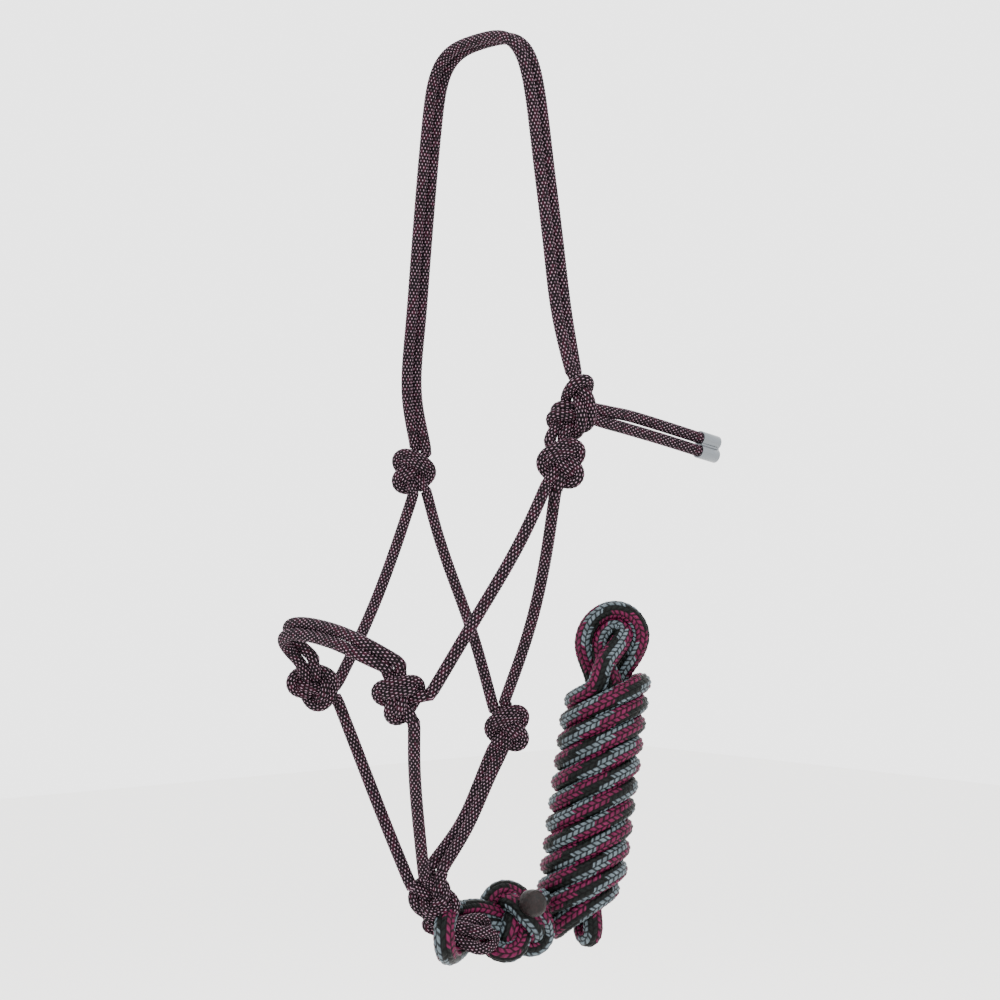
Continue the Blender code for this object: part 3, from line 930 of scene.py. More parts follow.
@dataclass
class OverhandKnot:
    """An overhand knot tied in two cords at once, the halter's usual knot.

    Attributes:
        name: The piece's name.
        centre: The knot's middle.
        along: The direction from its lower cords to its upper cords.
        depth: The direction that its crossing faces.
        upper: Where the upper cords lead, well clear of the knot.
        lower: Where the lower cords lead.
        diameter: The cord's diameter.
        reach: How far from its middle its cords are cut.
        tightness: The cord's width in the knot, as a share of its diameter.
        hand: 1 or -1, for which way it is tied.
        core: Cords that run straight through the knot, listed after the tied pair.
        strands: The tight knot's cords.
        upper_ports: Where the upper cords leave the tight knot.
        lower_ports: Where the lower cords leave it.
    """

    name: str
    centre: Vec
    along: Vec
    depth: Vec
    upper: list[Vec]
    lower: list[Vec]
    diameter: float = CORD
    reach: float = 19.0
    tightness: float = 0.78
    hand: int = 1
    core: int = 0
    LOOSENESS: ClassVar[float] = 1.7  # the loose knot's unit of size, in cord diameters
    CROSSING: ClassVar[float] = 2.2  # how far the loose knot's crossing stands off, in units
    HALF_APART: ClassVar[float] = 0.54  # half the distance of the pair, in cord diameters

    strands: list[Path] = field(default_factory=list)
    upper_ports: list[Port] = field(default_factory=list)
    lower_ports: list[Port] = field(default_factory=list)

    def loose_middle(self) -> Path:
        """Lay the knot out loosely.

        Returns:
            Its middle line: across, depth and along, in units of its size.
        """
        angle = np.linspace(0.25, 2 * np.pi - 0.25, 40)
        across = (2 + np.cos(3 * angle)) * np.cos(2 * angle) - self.CROSSING
        along = (2 + np.cos(3 * angle)) * np.sin(2 * angle)
        core = np.stack([across, self.hand * np.sin(3 * angle), along], 1)
        lead = np.array([[0.0, 0.0, 4.4], [0.9, 0.0, 3.7], [1.8, 0.0, 3.0], [2.0, 0.1, 1.9],
                         [1.5, 0.35, 0.75], [0.9, 0.5, 0.75]]) * [1, self.hand, 1]
        return np.concatenate([lead, core, lead[::-1] * [1, -1, -1]])

    def tie(self) -> "OverhandKnot":
        """Lay the knot out, draw it tight, and find where its cords leave it.

        Returns:
            The same knot, tied.
        """
        side = unit(np.cross(self.depth, self.along))
        depth = unit(np.cross(self.along, side))
        axes = np.stack([side, depth, unit(self.along)])
        thick = self.diameter * self.tightness
        middle = smooth_path(self.loose_middle() * self.LOOSENESS * self.diameter @ axes
                             + self.centre, LOOSE_STEP)
        sideways = unit_rows(np.cross(np.gradient(middle, axis=0), depth))
        lanes = [middle + sideways * self.HALF_APART * self.diameter,
                 middle - sideways * self.HALF_APART * self.diameter]
        for index in range(self.core):
            offset = (index - (self.core - 1) / 2) * self.diameter
            straight = np.array([[offset, 1.4, 40.0], [offset, 1.4, 24.0], [offset, 0.5, 9.0],
                                 [offset, -0.5, -9.0], [offset, -1.4, -24.0]])
            straight[:, 0] -= self.CROSSING * self.LOOSENESS * self.diameter
            straight[:, 1] *= self.hand * self.diameter
            lanes.append(smooth_path(straight @ axes + self.centre, LOOSE_STEP))
        tops = best_order([lane[0] for lane in lanes], self.upper)
        ends = best_order([lane[-1] for lane in lanes], self.lower)
        lanes = [smooth_path([self.upper[top], *lane[::6], self.lower[end]], LOOSE_STEP)
                 for lane, top, end in zip(lanes, tops, ends)]
        self._cut(drawn_tight(lanes, thick, 420, 200, self.centre), tops, ends)
        return self

    def _cut(self, drawn: list[Path], tops: list[int], ends: list[int]) -> None:
        """Cut the tight knot's cords at its reach.

        Args:
            drawn: The tight cords.
            tops: For each cord, the number of its upper place.
            ends: For each cord, the number of its lower place.
        """
        self.upper_ports = [Port(self.centre, self.along)] * len(drawn)
        self.lower_ports = list(self.upper_ports)
        for path, top, end in zip(drawn, tops, ends):
            inside = np.flatnonzero(np.linalg.norm(path - self.centre, axis=1) < self.reach)
            kept = path[inside[0]:inside[-1] + 1]
            self.strands.append(kept)
            self.upper_ports[top] = Port(kept[0], unit(kept[0] - kept[2]))
            self.lower_ports[end] = Port(kept[-1], unit(kept[-1] - kept[-3]))

    def build(self, finish: bpy.types.Material, body: str) -> bpy.types.Object:
        """Make the knot's piece.

        Args:
            finish: The cord's finish.
            body: The moving body that the knot rides on.

        Returns:
            The new piece.
        """
        piece = braided_piece(f"{self.name}_braided", HALTER_BRAID, self.strands, finish,
                              slim=0.5 + 0.5 * self.tightness)
        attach(piece, body)
        return declared(piece, "halter_cord", self.name)


def declared(piece: bpy.types.Object, slot: str, *nodes: str) -> bpy.types.Object:
    """Hide the plain nodes that a piece stands for, and log its number of faces.

    Args:
        piece: The piece.
        slot: The name of its finish; not used.
        *nodes: The plain nodes that it stands for.

    Returns:
        The same piece.
    """
    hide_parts(*nodes)
    LOG.info("%s: %d faces", piece.name, len(piece.data.polygons))
    return piece


def between(start: Port, route: Sequence[Sequence[float]], end: Port,
            taut: bool = False) -> Path:
    """Draw a cord from one knot to the next through its route's points.

    Args:
        start: Where the cord leaves the first knot.
        route: The points that it passes.
        end: Where it reaches the second knot.
        taut: Whether the cord is pulled nearly straight.

    Returns:
        The cord's centre line.
    """
    clear = [np.asarray(point, dtype=float) for point in route]
    near = TAUT_CLEAR if taut else EASY_CLEAR
    clear = [point for point in clear
             if min(np.linalg.norm(point - start.place), np.linalg.norm(point - end.place)) > near]
    points = [start.place, start.place + start.outward * STRAIGHT_OUT, *clear,
              end.place + end.outward * STRAIGHT_OUT, end.place]
    eased = smooth_path(points, 2.0)
    for _ in range(TAUT_ROUNDS if taut else EASY_ROUNDS):
        inner = 0.5 * (eased[2:-4] + eased[4:-2])
        eased[3:-3] += 0.5 * (inner - eased[3:-3])
    return eased


def leading(centre: Vec, towards: Sequence[float], offset: Sequence[float] = (0, 0, 0),
            far: float = 62.0) -> Vec:
    """Find a place well clear of a knot, on the way to the next one.

    Args:
        centre: The knot's middle.
        towards: A place on the next knot's side.
        offset: How far to the side one cord of a pair lies.
        far: How far from the knot the place is.

    Returns:
        The place.
    """
    way = unit(np.asarray(towards, dtype=float) - centre)
    place = centre + way * far
    return place + square_to(way, np.asarray(offset, float)) if any(offset) else place


@dataclass
class Halter:
    """The halter's one cord: crown, cheeks, noseband, throat and fiador.

    Attributes:
        finish: The cord's finish.
        knots: The knots tied so far, by name.
    """

    LOOP_WAY: ClassVar[Vec] = unit((0.6, 0.0, -0.8))
    LOOP_STARTS: ClassVar[tuple[float, float]] = (-3.4, 5.6)

    finish: bpy.types.Material
    knots: dict[str, OverhandKnot] = field(default_factory=dict)

    def stretch(self, name: str, path: Path) -> bpy.types.Object:
        """Make one length of cord between two knots."""
        piece = braided_piece(f"{name}_braided", HALTER_BRAID, [path], self.finish)
        return declared(piece, "halter_cord", name)

    def knot(self, name: str, body: str = "face", **sizes: object) -> OverhandKnot:
        """Tie and build one knot.

        Args:
            name: The knot's name.
            body: The moving body that it rides on.
            **sizes: The knot's other fields.

        Returns:
            The tied knot.
        """
        made = OverhandKnot(name, **sizes).tie()
        made.build(self.finish, body)
        self.knots[name] = made
        return made

    def build_knots(self) -> None:
        """Tie the knots of the cheeks, nose, throat and chin."""
        aside = np.array([PAIR, 0.0, 0.0])
        for name, centre, depth, hand, cheek, throat, upper in (
                ("cheek_knot_far", FAR_CHEEK, -FRONT, 1, FAR_CHEEK_ROUTE, FAR_THROAT_ROUTE,
                 CROWN_ROUTE[0]),
                ("cheek_knot_near", NEAR_CHEEK, FRONT, -1, NEAR_CHEEK_ROUTE, NEAR_THROAT_ROUTE,
                 TIE)):
            self.knot(name, centre=centre + RIGHT * 2, along=UP, depth=depth, hand=hand,
                      upper=[leading(centre, upper, aside), leading(centre, upper, -aside)],
                      lower=[leading(centre, cheek[1]), leading(centre, throat[0])],
                      reach=18.0, tightness=0.76)
        away = np.array([-0.55, 0.0, 0.82])
        stack = np.array([0.82, 0.0, 0.55])
        for name, centre, hand, cheek, chin in (
                ("nose_knot_far", FAR_NOSE, -1, FAR_CHEEK_ROUTE, FAR_CHIN_ROUTE),
                ("nose_knot_near", NEAR_NOSE, 1, NEAR_CHEEK_ROUTE, NEAR_CHIN_ROUTE)):
            self.knot(name, centre=centre, along=unit((-0.5, 0.0, 0.87)), depth=-FRONT, hand=hand,
                      upper=[leading(centre, centre + away, stack * PAIR),
                             leading(centre, centre + away, -stack * PAIR)],
                      lower=[leading(centre, cheek[-1]), leading(centre, chin[0])],
                      reach=19.0)
        self.knot("throat_knot", centre=THROAT + RIGHT * 2, along=UP, depth=FRONT, hand=-1,
                  upper=[leading(THROAT, FAR_THROAT_ROUTE[-2]),
                         leading(THROAT, NEAR_THROAT_ROUTE[-2])],
                  lower=[leading(THROAT, DROP_ROUTE[0], np.array([0, 1, 0]) * side * PAIR)
                         for side in (1, -1)],
                  reach=17.5, tightness=0.74)
        across = unit((0.8, 0.0, 0.6))
        self.knot("fiador_knot", centre=FIADOR, along=np.array([-0.25, 0.0, 1.0]), depth=FRONT,
                  upper=[leading(FIADOR, FAR_CHIN_ROUTE[-2]), leading(FIADOR, NEAR_CHIN_ROUTE[-2]),
                         leading(FIADOR, DROP_ROUTE[0], (0, PAIR, 0)),
                         leading(FIADOR, DROP_ROUTE[0], (0, -PAIR, 0))],
                  lower=[FIADOR + self.LOOP_WAY * 50 + across * up * PAIR + np.array([0, y, 0])
                         for up in (1, -1) for y in self.LOOP_STARTS],
                  reach=20.0, tightness=0.72, core=2)

    def build_stretches(self) -> None:
        """Run the cords from knot to knot."""
        knots = self.knots
        for side, cheek, throat, chin, index in (
                ("far", FAR_CHEEK_ROUTE, FAR_THROAT_ROUTE, FAR_CHIN_ROUTE, 0),
                ("near", NEAR_CHEEK_ROUTE, NEAR_THROAT_ROUTE, NEAR_CHIN_ROUTE, 1)):
            top, nose = knots[f"cheek_knot_{side}"], knots[f"nose_knot_{side}"]
            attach(self.stretch(f"cheek_cord_{side}", between(
                top.lower_ports[0], cheek, nose.lower_ports[0], taut=True)), "face")
            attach(self.stretch(f"throat_cord_{side}", between(
                top.lower_ports[1], throat, knots["throat_knot"].upper_ports[index],
                taut=True)), "face")
            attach(self.stretch(f"chin_cord_{side}", between(
                nose.lower_ports[1], chin, knots["fiador_knot"].upper_ports[index],
                taut=True)), "face")
        for index, (name, side) in enumerate((("throat_drop_cord_rear", 1),
                                              ("throat_drop_cord_front", -1))):
            route = shifted(DROP_ROUTE, np.array([0.0, side * PAIR, 0.0]))
            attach(self.stretch(name, between(
                knots["throat_knot"].lower_ports[index], route,
                knots["fiador_knot"].upper_ports[2 + index])), "face")

    def build_noseband(self) -> None:
        """Run the doubled noseband over the nose, one cord above the other."""
        for index, (name, side) in enumerate((("noseband_cord_upper", 1),
                                              ("noseband_cord_lower", -1))):
            route = shifted(NOSEBAND_ROUTE, np.array([0.5, 0.0, 0.85]) * side * PAIR)
            band = self.stretch(name, between(self.knots["nose_knot_far"].upper_ports[index],
                                              route,
                                              self.knots["nose_knot_near"].upper_ports[index]))
            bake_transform(band)

    def build_fiador_loops(self) -> None:
        """Run the fiador knot's two loops round the lead rope's eye."""
        ports = self.knots["fiador_knot"].lower_ports
        for index, (name, end_y) in enumerate((("fiador_loop_front", -10.0),
                                               ("fiador_loop_rear", -0.8))):
            level = -618.0 + index * CORD
            turn = [np.array([2.0 + 11.0 * math.sin(angle), end_y + 3,
                              level + 5.6 * math.cos(angle)])
                    for angle in np.linspace(0.1, math.pi - 0.1, 6)]
            turn = [np.array([-11.0, end_y - 2, level + 6.8]), *turn,
                    np.array([-11.0, end_y - 2, level - 6.8])]
            path = between(ports[index], turn, ports[index + 2])
            loop = self.stretch(name, path)
            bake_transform(loop)

    def build(self) -> None:
        """Build everything but the crown."""
        self.build_knots()
        self.build_stretches()
        self.build_noseband()
        self.build_fiador_loops()


@dataclass
class CrownTie:
    """The sheet bend that fastens the doubled crown cord to the near loop.

    Attributes:
        halter: The halter, whose cheek knots are already tied.
        sleeve: The finish of the sleeve on the tails.
    """

    halter: Halter
    sleeve: bpy.types.Material

    TIGHTNESS: ClassVar[float] = 0.92
    # Right, front and up from the middle of the tie.
    LOOP: ClassVar[tuple] = ((-11.0, 0.0, -6.0), (-12.0, 1.0, 4.0), (-7.0, 2.0, 16.0),
                             (7.0, 3.0, 16.0), (12.0, 1.0, 4.0), (11.0, 0.0, -6.0))
    # Each place, and the side of the knot that the pair lies on there.
    BEND: ClassVar[tuple] = (
        ((0, -10, 30), (0, -1, 0)), ((0, 4, 8), (0, 0, -1)), ((4, 20, 6), (0, 0.7, -0.7)),
        ((16, 23, -2), (0.3, 1, 0)), ((28, 10, -10), (1, 0.3, 0)), ((20, -14, -14), (0.3, -1, 0)),
        ((0, -18, -14), (0, -1, 0)), ((-20, -14, -14), (-0.5, -1, 0)), ((-28, 0, -13), (-1, 0, 0)),
        ((-18, 12, -12), (-0.5, 1, 0)), ((0, 11, -5), (0, 1, 0)), ((14, 11, 3), (0, 1, 0)),
        ((26, 10, 8), (0, 1, 0)))

    @staticmethod
    def placed(local: Sequence[float]) -> Vec:
        """Turn right, front and up into the frame's axes."""
        return RIGHT * local[0] + FRONT * local[1] + UP * local[2]

    def build(self) -> None:
        """Tie the bend, and build the crown, the tie, the tails and the sleeve."""
        near = self.halter.knots["cheek_knot_near"].upper_ports
        far = self.halter.knots["cheek_knot_far"].upper_ports
        points = [TIE + self.placed(place) for place, _ in self.BEND]
        normals = [unit(self.placed(normal)) for _, normal in self.BEND]
        tail_way = unit(TAIL_END - np.array(TAIL_ROUTE[0]))
        stack = unit(np.cross(tail_way, (0, 1, 0)))
        stack = stack if stack[2] > 0 else -stack
        lanes = []
        for side in (1, -1):
            top = np.array(CROWN_ROUTE[-1]) + square_to((0, 0, 1), np.array([side * PAIR, 0, 0]))
            lane = [top]
            for index, point in enumerate(points):
                ahead = points[min(index + 1, len(points) - 1)] - points[max(index - 1, 0)]
                lane.append(point + unit(np.cross(ahead, normals[index])) * side * PAIR)
            out = np.array(TAIL_ROUTE[0]) - stack * side * (PAIR + 0.35)
            lanes.append(smooth_path([*lane, out, out + tail_way * 12], 2.5))
        left, right = sorted(near, key=lambda port: float(port.place @ RIGHT))
        loop = [left.place, left.place + left.outward * 4,
                *(TIE + self.placed(place) for place in self.LOOP),
                right.place + right.outward * 4, right.place]
        lanes.append(smooth_path(loop, 2.5))
        drawn = drawn_tight(lanes, self.TIGHTNESS * CORD, 260, 120)
        self.finish_pieces(drawn, far, tail_way, stack)

    def finish_pieces(self, drawn: list[Path], far: list[Port], tail_way: Vec,
                      stack: Vec) -> None:
        """Cut the tightened cords into pieces and build them.

        Args:
            drawn: The two cords of the bend, and then the loop's cord.
            far: Where the crown's cords leave the far cheek knot.
            tail_way: The direction of the tails.
            stack: The direction from the lower tail to the upper one.
        """
        finish = self.halter.finish
        loop = braided_piece("tie_loop_braided", HALTER_BRAID, [drawn[2]], finish, slim=0.93)
        declared(loop, "halter_cord", "tie_loop")
        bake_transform(loop)
        middles, tops, tails = [], [], []
        for path in drawn[:2]:
            far_from = np.linalg.norm(path - TIE, axis=1)
            inside = np.flatnonzero(far_from < 27)
            kept = path[inside[0]:inside[-1] + 1]
            middles.append(kept)
            tops.append(Port(kept[0], unit(kept[0] - kept[2])))
            tails.append(Port(kept[-1], unit(kept[-1] - kept[-3])))
        bend = braided_piece("tie_bend_braided", HALTER_BRAID, middles, finish, slim=0.93)
        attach(declared(bend, "halter_cord", "tie_bend"), "crown")
        for index, (name, side) in enumerate((("crown_cord_rear", 1), ("crown_cord_front", -1))):
            route = shifted(CROWN_ROUTE, np.array([side * PAIR, 0.0, 0.0]))
            crown = self.halter.stretch(name, between(far[index], route, tops[index]))
            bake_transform(crown)
        ferrule = CrimpedSleeve(self.sleeve).build(tail_way, stack)
        for index, (name, side) in enumerate((("tail_cord_lower", -1), ("tail_cord_upper", 1))):
            offset = stack * side * (PAIR + 0.35)
            end = TAIL_END + offset
            port = Port(end, tail_way)
            points = [tails[index].place, tails[index].place + tails[index].outward * 5,
                      *shifted(TAIL_ROUTE, offset), end - tail_way * 14, end]
            points = [point for number, point in enumerate(points)
                      if number < 2 or np.linalg.norm(point - tails[index].place) > 12]
            path = smooth_path(points, 2.0)
            tail = self.halter.stretch(name, path)
            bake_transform(tail)
        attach(declared(ferrule, "ferrule_metal", "tail_ferrule"), "tail")


def deselect() -> None:
    """Deselect every object."""
    bpy.ops.object.select_all(action="DESELECT")


@dataclass(frozen=True)
class CrimpedSleeve:
    """The metal sleeve pressed round both tails at their ends.

    Attributes:
        finish: The metal's finish.
        length: The sleeve's length, in millimetres.
        wall: The metal's thickness.
        bore: The radius of each cord's channel.
        half: Half the distance between the channels.
        waist: How wide the sleeve is between its channels, as a share of a channel.
        edge: How far its edges are rounded.
        past: How far the sleeve reaches past the cords' ends.
    """

    finish: bpy.types.Material
    length: float = 17.5
    wall: float = 1.0
    bore: float = 4.15
    half: float = 4.6
    waist: float = 0.62
    edge: float = 0.35
    past: float = 1.7

    def _cut_with(self, piece: bpy.types.Object, tool: bpy.types.Object, operation: str) -> None:
        """Join or cut one solid with another and remove the tool.

        Args:
            piece: The solid to change.
            tool: The solid that it is joined or cut with.
            operation: UNION to join, DIFFERENCE to cut.
        """
        deselect()
        piece.select_set(True)
        bpy.context.view_layer.objects.active = piece
        change = piece.modifiers.new("shape", "BOOLEAN")
        change.operation = operation
        change.object = tool
        change.solver = "EXACT"
        bpy.ops.object.modifier_apply(modifier=change.name)
        bpy.data.objects.remove(tool)

    def _cylinder(self, radius: float, length: float, up: float) -> bpy.types.Object:
        """Add a cylinder that lies along the sleeve.

        Args:
            radius: Its radius.
            length: Its length.
            up: How far it lies from the sleeve's middle, towards the upper tail.

        Returns:
            The new cylinder.
        """
        deselect()
        bpy.ops.mesh.primitive_cylinder_add(vertices=64, radius=radius * MM, depth=length * MM,
                                            location=(0, up * MM, 0))
        return bpy.context.object

    def build(self, way: Vec, stack: Vec) -> bpy.types.Object:
        """Model the sleeve and put it on the tails.

        Args:
            way: The direction of the tails.
            stack: The direction from the lower tail to the upper one.

        Returns:
            The sleeve.
        """
        outer = self.bore + self.wall
        sleeve = self._cylinder(outer, self.length, self.half)
        self._cut_with(sleeve, self._cylinder(outer, self.length, -self.half), "UNION")
        deselect()
        bpy.ops.mesh.primitive_cube_add(size=MM, location=(0, 0, 0),
                                        scale=(2 * outer * self.waist, 4.0, self.length))
        self._cut_with(sleeve, bpy.context.object, "UNION")
        for up in (self.half, -self.half):
            self._cut_with(sleeve, self._cylinder(self.bore, self.length + 4, up), "DIFFERENCE")
        deselect()
        sleeve.select_set(True)
        bpy.context.view_layer.objects.active = sleeve
        edge = sleeve.modifiers.new("edge", "BEVEL")
        edge.width = self.edge * MM
        edge.segments = 3
        edge.limit_method = "ANGLE"
        edge.angle_limit = math.radians(50)
        bpy.ops.object.modifier_apply(modifier=edge.name)
        bpy.ops.object.transform_apply(location=True, rotation=True, scale=True)
        across = unit(np.cross(stack, way))
        middle = TAIL_END - way * (self.length / 2 - self.past)
        turn = mathutils.Matrix([[across[i], stack[i], way[i], middle[i] * MM]
                                 for i in range(3)] + [[0, 0, 0, 1]])
        sleeve.matrix_world = turn
        bpy.context.view_layer.update()
        bpy.ops.object.transform_apply(location=True, rotation=True, scale=True)
        bpy.ops.object.shade_smooth_by_angle(angle=math.radians(35))
        sleeve.name = sleeve.data.name = "tail_ferrule_crimped"
        sleeve.data.materials.append(self.finish)
        return sleeve


@dataclass
class LeadRope:
    """The lead rope: its eye, its knot, its sealed end and the wound hank.

    Attributes:
        rope: The rope's finish.
        sealed: The melted end's finish.
        wraps: How many times the rope goes round the hank.
        wrap_radius: The radius of a wrap's centre line, in millimetres.
        tilt: How far a wrap rises from one side of the hank to the other, halved.
        run: How far the hank's inner strands lie from its middle, in millimetres.
    """

    rope: bpy.types.Material
    sealed: bpy.types.Material
    wraps: float = 11.2
    wrap_radius: float = 25.0
    tilt: float = 14.0
    run: float = 7.2

    PER_TURN: ClassVar[int] = 18  # points that lay one wrap
    JOINT: ClassVar[Vec] = np.array([76.0, 18.0, -615.0])  # where the hank hangs from
    EYE: ClassVar[tuple] = (
        (-6.0, 15.0, -601.5), (-18.0, 10.0, -599.0), (-30.0, -2.0, -598.0),
        (-39.0, -11.0, -601.0), (-44.0, -16.0, -610.0), (-40.0, -13.0, -619.5),
        (-30.0, -4.0, -624.5), (-17.0, 7.0, -626.5), (-5.0, 14.0, -625.0))

    def build(self) -> None:
        """Build the rope from its sealed end to the end of the hank."""
        knot = OverhandKnot(
            "lead_knot", LEAD_KNOT - RIGHT * 3 + UP * 3, along=np.array([-1.0, 0.25, 0.0]),
            depth=unit(-FRONT - UP * 0.5), hand=-1,
            upper=[LEAD_KNOT + [-80, 16, 13], LEAD_KNOT + [-80, 16, -9]],
            lower=[LEAD_KNOT + RIGHT * 6 + UP * 17 + FRONT * 26, LEAD_KNOT + [80, 34, 6]],
            diameter=LEAD, reach=28.0, tightness=0.74).tie()
        self.build_eye_and_knot(knot)
        self.build_stretch_and_hank(knot.lower_ports[1])

    def build_eye_and_knot(self, knot: OverhandKnot) -> None:
        """Build the sealed end, the knot and the eye as one length of rope.

        Args:
            knot: The tied knot, whose first lower cord is the sealed end.
        """
        first = next(strand for strand in knot.strands
                     if np.linalg.norm(strand[-1] - knot.lower_ports[0].place) < 0.01)
        second = next(strand for strand in knot.strands if strand is not first)
        ends = (first[0], second[0])
        order = self.EYE if ends[0][2] > ends[1][2] else self.EYE[::-1]
        clear = [np.array(point) for point in order
                 if min(np.linalg.norm(np.array(point) - end) for end in ends) > 12]
        eye = smooth_path([first[0], first[0] + unit(first[0] - first[2]) * 6, *clear,
                           second[0] + unit(second[0] - second[2]) * 6, second[0]], 3.0)
        path = np.concatenate([first[::-1], eye[1:-1], second])
        piece = braided_piece("lead_eye_and_knot_braided", LEAD_BRAID, [path], self.rope)
        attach(declared(piece, "lead_rope", "lead_eye", "lead_knot"), "lead")
        cap = self.build_sealed_end(knot.lower_ports[0])

    def build_sealed_end(self, port: Port) -> bpy.types.Object:
        """Melt a dome over the rope's cut end.

        Args:
            port: Where the rope ends.

        Returns:
            The dome.
        """
        deselect()
        bpy.ops.mesh.primitive_uv_sphere_add(segments=48, ring_count=24, radius=1.0)
        cap = bpy.context.object
        cap.name = cap.data.name = "melted_end"
        cap.scale = (0.69 * LEAD * MM, 0.69 * LEAD * MM, 0.5 * LEAD * MM)
        cap.rotation_euler = mathutils.Vector(port.outward).to_track_quat("Z", "Y").to_euler()
        cap.location = (port.place + port.outward * 1.0) * MM
        bpy.context.view_layer.update()
        bpy.ops.object.transform_apply(location=True, rotation=True, scale=True)
        texture = bpy.data.textures.new("melt", "CLOUDS")
        texture.noise_scale = 0.006
        lumps = cap.modifiers.new("lumps", "DISPLACE")
        lumps.texture = texture
        lumps.strength = 1.2 * MM
        bpy.ops.object.modifier_apply(modifier=lumps.name)
        bpy.ops.object.shade_smooth()
        cap.data.materials.append(self.sealed)
        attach(declared(cap, "sealed_end", "lead_end_cap"), "lead")
        return cap

    def hank_path(self) -> Path:
        """Lay the hank: up its core, round its eye, down, up again, and the wraps.

        Returns:
            The rope's centre line.
        """
        up = unit(HANK_TOP - HANK_BOTTOM)
        front = square_to(up, FRONT)
        right = unit(np.cross(up, front))
        right = right if right @ RIGHT > 0 else -right
        tall = float(np.linalg.norm(HANK_TOP - HANK_BOTTOM))

        def at(across: float, deep: float, high: float) -> Vec:
            """Return the place so far right of, in front of and above the hank's foot."""
            return HANK_BOTTOM + right * across + front * deep + up * high

        run = self.run
        points = [at(-run, -run, 2), at(-run, -run, 60), at(-run, -run, tall - 50),
                  at(-run - 1, -run, tall - 8), at(-14, -4, tall + 5), at(-21.0, 0, tall + 19),
                  at(-19.5, 0, tall + 34), at(-10.5, 0, tall + 45.5), at(1, 0, tall + 49.4),
                  at(12.5, 0, tall + 45), at(19.8, 0, tall + 33), at(16.5, -1, tall + 18),
                  at(9.5, -5, tall + 4), at(run, -run, tall - 10), at(run, -run, tall - 50),
                  at(run, -run, 60), at(run + 1, -run, 8), at(5, -7, -9), at(6, -5, -18),
                  at(9.5, 0, -24), at(12.5, 5, -18), at(11, 7, -8), at(run + 1, run, 6),
                  at(run, run, 60),
                  at(run, run, tall - 50), at(4, run, tall - 6), at(-6, 3, tall + 8),
                  at(-9.6, 0, tall + 20), at(-8, -1, tall + 31), at(0, -1, tall + 37.5),
                  at(7.4, 2, tall + 33.5), at(4.5, 9, tall + 25), at(-1, 15, tall + 15),
                  at(-6, 20, tall + 7)]
        top = tall - 5
        pitch = (tall - 10) / 10.4
        start = math.radians(-25)
        for step in range(int(self.wraps * self.PER_TURN) + 1):
            angle = start - step / self.PER_TURN * 2 * math.pi
            high = top - pitch * step / self.PER_TURN + self.tilt * math.sin(angle)
            # The first and the last wrap close in on the core.
            grow = min(1.0, 0.88 + step / 60, 0.62 + (self.wraps * self.PER_TURN - step) / 40)
            points.append(at(self.wrap_radius * grow * math.sin(angle),
                             self.wrap_radius * grow * math.cos(angle), high))
        points += [at(-6, -12, -4), at(-run, 2, -8), at(-run, run, 8), at(-run, run, 70)]
        return smooth_path(points, 3.0)

    def build_stretch_and_hank(self, start: Port) -> None:
        """Build the short free stretch and the wound hank.

        Args:
            start: Where the rope leaves the knot.
        """
        way = unit((0.8, -0.25, -0.25))
        ahead = way * STRAIGHT_OUT
        hank = smooth_path([self.JOINT, self.JOINT + ahead, np.array([85.5, 9.0, -618.0]),
                            *self.hank_path()[2::3]], 3.0)
        free = smooth_path([start.place, start.place + start.outward * STRAIGHT_OUT,
                            self.JOINT - ahead, self.JOINT], 2.0)
        stretch = braided_piece("lead_stretch_braided", LEAD_BRAID, [free], self.rope)
        declared(stretch, "lead_rope", "lead_stretch")
        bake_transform(stretch)
        rope = braided_piece("lead_hank_braided", LEAD_BRAID, [hank], self.rope)
        declared(rope, "lead_rope", "lead_hank", "lead_hank_eye", "lead_hank_tail")
        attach(rope, "hank")


@dataclass(frozen=True)
class Lamp:
    """One soft square light.

    Attributes:
        name: The lamp's name.
        place: Where it hangs, in metres.
        power: Its power in watts.
        size: The width of its square face in metres.
    """

    name: str
    place: tuple[float, float, float]
    power: float
    size: float

    def build(self, target: tuple[float, float, float]) -> None:
        """Hang the lamp and aim it at a place.

        Args:
            target: The place.
        """
        light = bpy.data.lights.new(self.name, "AREA")
        light.energy, light.size = self.power, self.size
        lamp = bpy.data.objects.new(self.name, light)
        lamp.location = self.place
        aim = mathutils.Vector(target) - mathutils.Vector(self.place)
        lamp.rotation_euler = aim.to_track_quat("-Z", "Y").to_euler()
        bpy.context.scene.collection.objects.link(lamp)


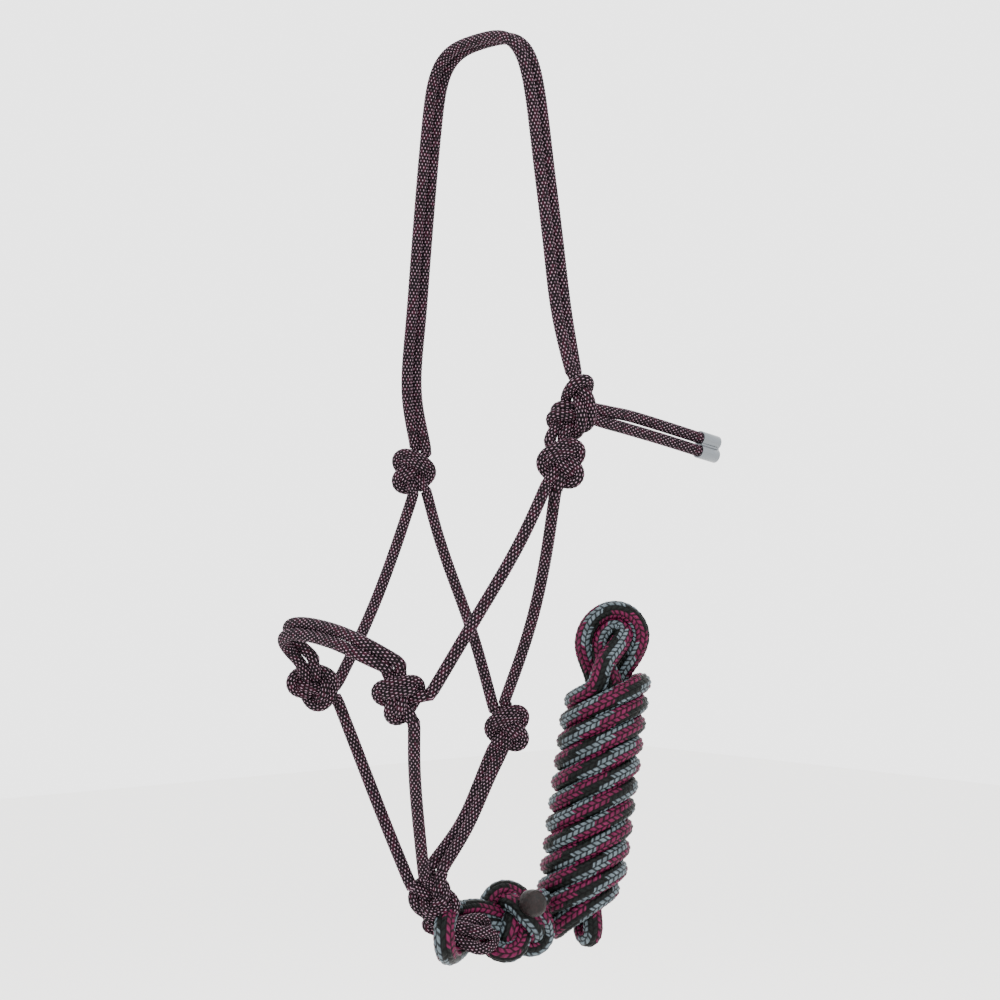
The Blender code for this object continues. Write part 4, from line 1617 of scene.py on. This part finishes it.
@dataclass(frozen=True)
class Studio:
    """The camera, the soft lights and the pale floor, in metres.

    Attributes:
        eye: Where the camera is.
        target: What it looks at.
        lens: Its focal length in millimetres.
        middle: What the lamps shine on.
        floor_level: The floor's height, below the lowest swing of the hank.
        daylight: The strength of the white surroundings.
        lamps: The soft lights.
    """

    eye: tuple[float, float, float] = (-0.7533, -0.9193, -0.366)
    target: tuple[float, float, float] = (0.018, 0.0, -0.317)
    lens: float = 61.8
    middle: tuple[float, float, float] = (0.0, 0.0, -0.35)
    floor_level: float = -1.05
    daylight: float = 3.2
    lamps: tuple[Lamp, ...] = (Lamp("key", (-0.7, -1.3, 0.7), 26.0, 1.2),
                               Lamp("fill", (-1.7, -0.2, -0.2), 12.0, 1.4),
                               Lamp("rim", (0.9, 1.0, 0.5), 14.0, 1.0))

    def build(self) -> None:
        """Build the studio."""
        self.place_camera()
        self.lay_floor()
        for lamp in self.lamps:
            lamp.build(self.middle)
        world = bpy.data.worlds.new("studio")
        world.use_nodes = True
        background = world.node_tree.nodes["Background"]
        background.inputs["Color"].default_value = (1.0, 1.0, 1.0, 1.0)
        background.inputs["Strength"].default_value = self.daylight
        bpy.context.scene.world = world

    def place_camera(self) -> None:
        """Put the camera in its place."""
        camera = bpy.data.objects.new("camera", bpy.data.cameras.new("camera"))
        camera.location = self.eye
        look = mathutils.Vector(self.target) - mathutils.Vector(self.eye)
        camera.rotation_euler = look.to_track_quat("-Z", "Y").to_euler()
        camera.data.lens = self.lens
        camera.data.sensor_width = 36.0
        bpy.context.scene.collection.objects.link(camera)
        bpy.context.scene.camera = camera

    def lay_floor(self) -> None:
        """Lay a sheet of pale paper as the floor."""
        deselect()
        bpy.ops.mesh.primitive_plane_add(size=8.0, location=(0.0, 0.0, self.floor_level))
        floor = bpy.context.object
        floor.name = "floor"
        pale = bpy.data.materials.new("pale_paper")
        pale.use_nodes = True
        shader = pale.node_tree.nodes["Principled BSDF"]
        shader.inputs["Base Color"].default_value = linear("#f4f3f1")
        shader.inputs["Roughness"].default_value = 0.9
        floor.data.materials.append(pale)


def main() -> None:
    """Build the studio, the halter, the crown tie and the lead rope, in that order."""
    logging.basicConfig(level=logging.INFO, format="%(message)s")
    Studio().build()
    finishes = Finishes.build()
    halter = Halter(finishes.cord)
    halter.build()
    CrownTie(halter, finishes.sleeve).build()
    LeadRope(finishes.rope, finishes.sealed).build()


if __name__ == "__main__":
    main()
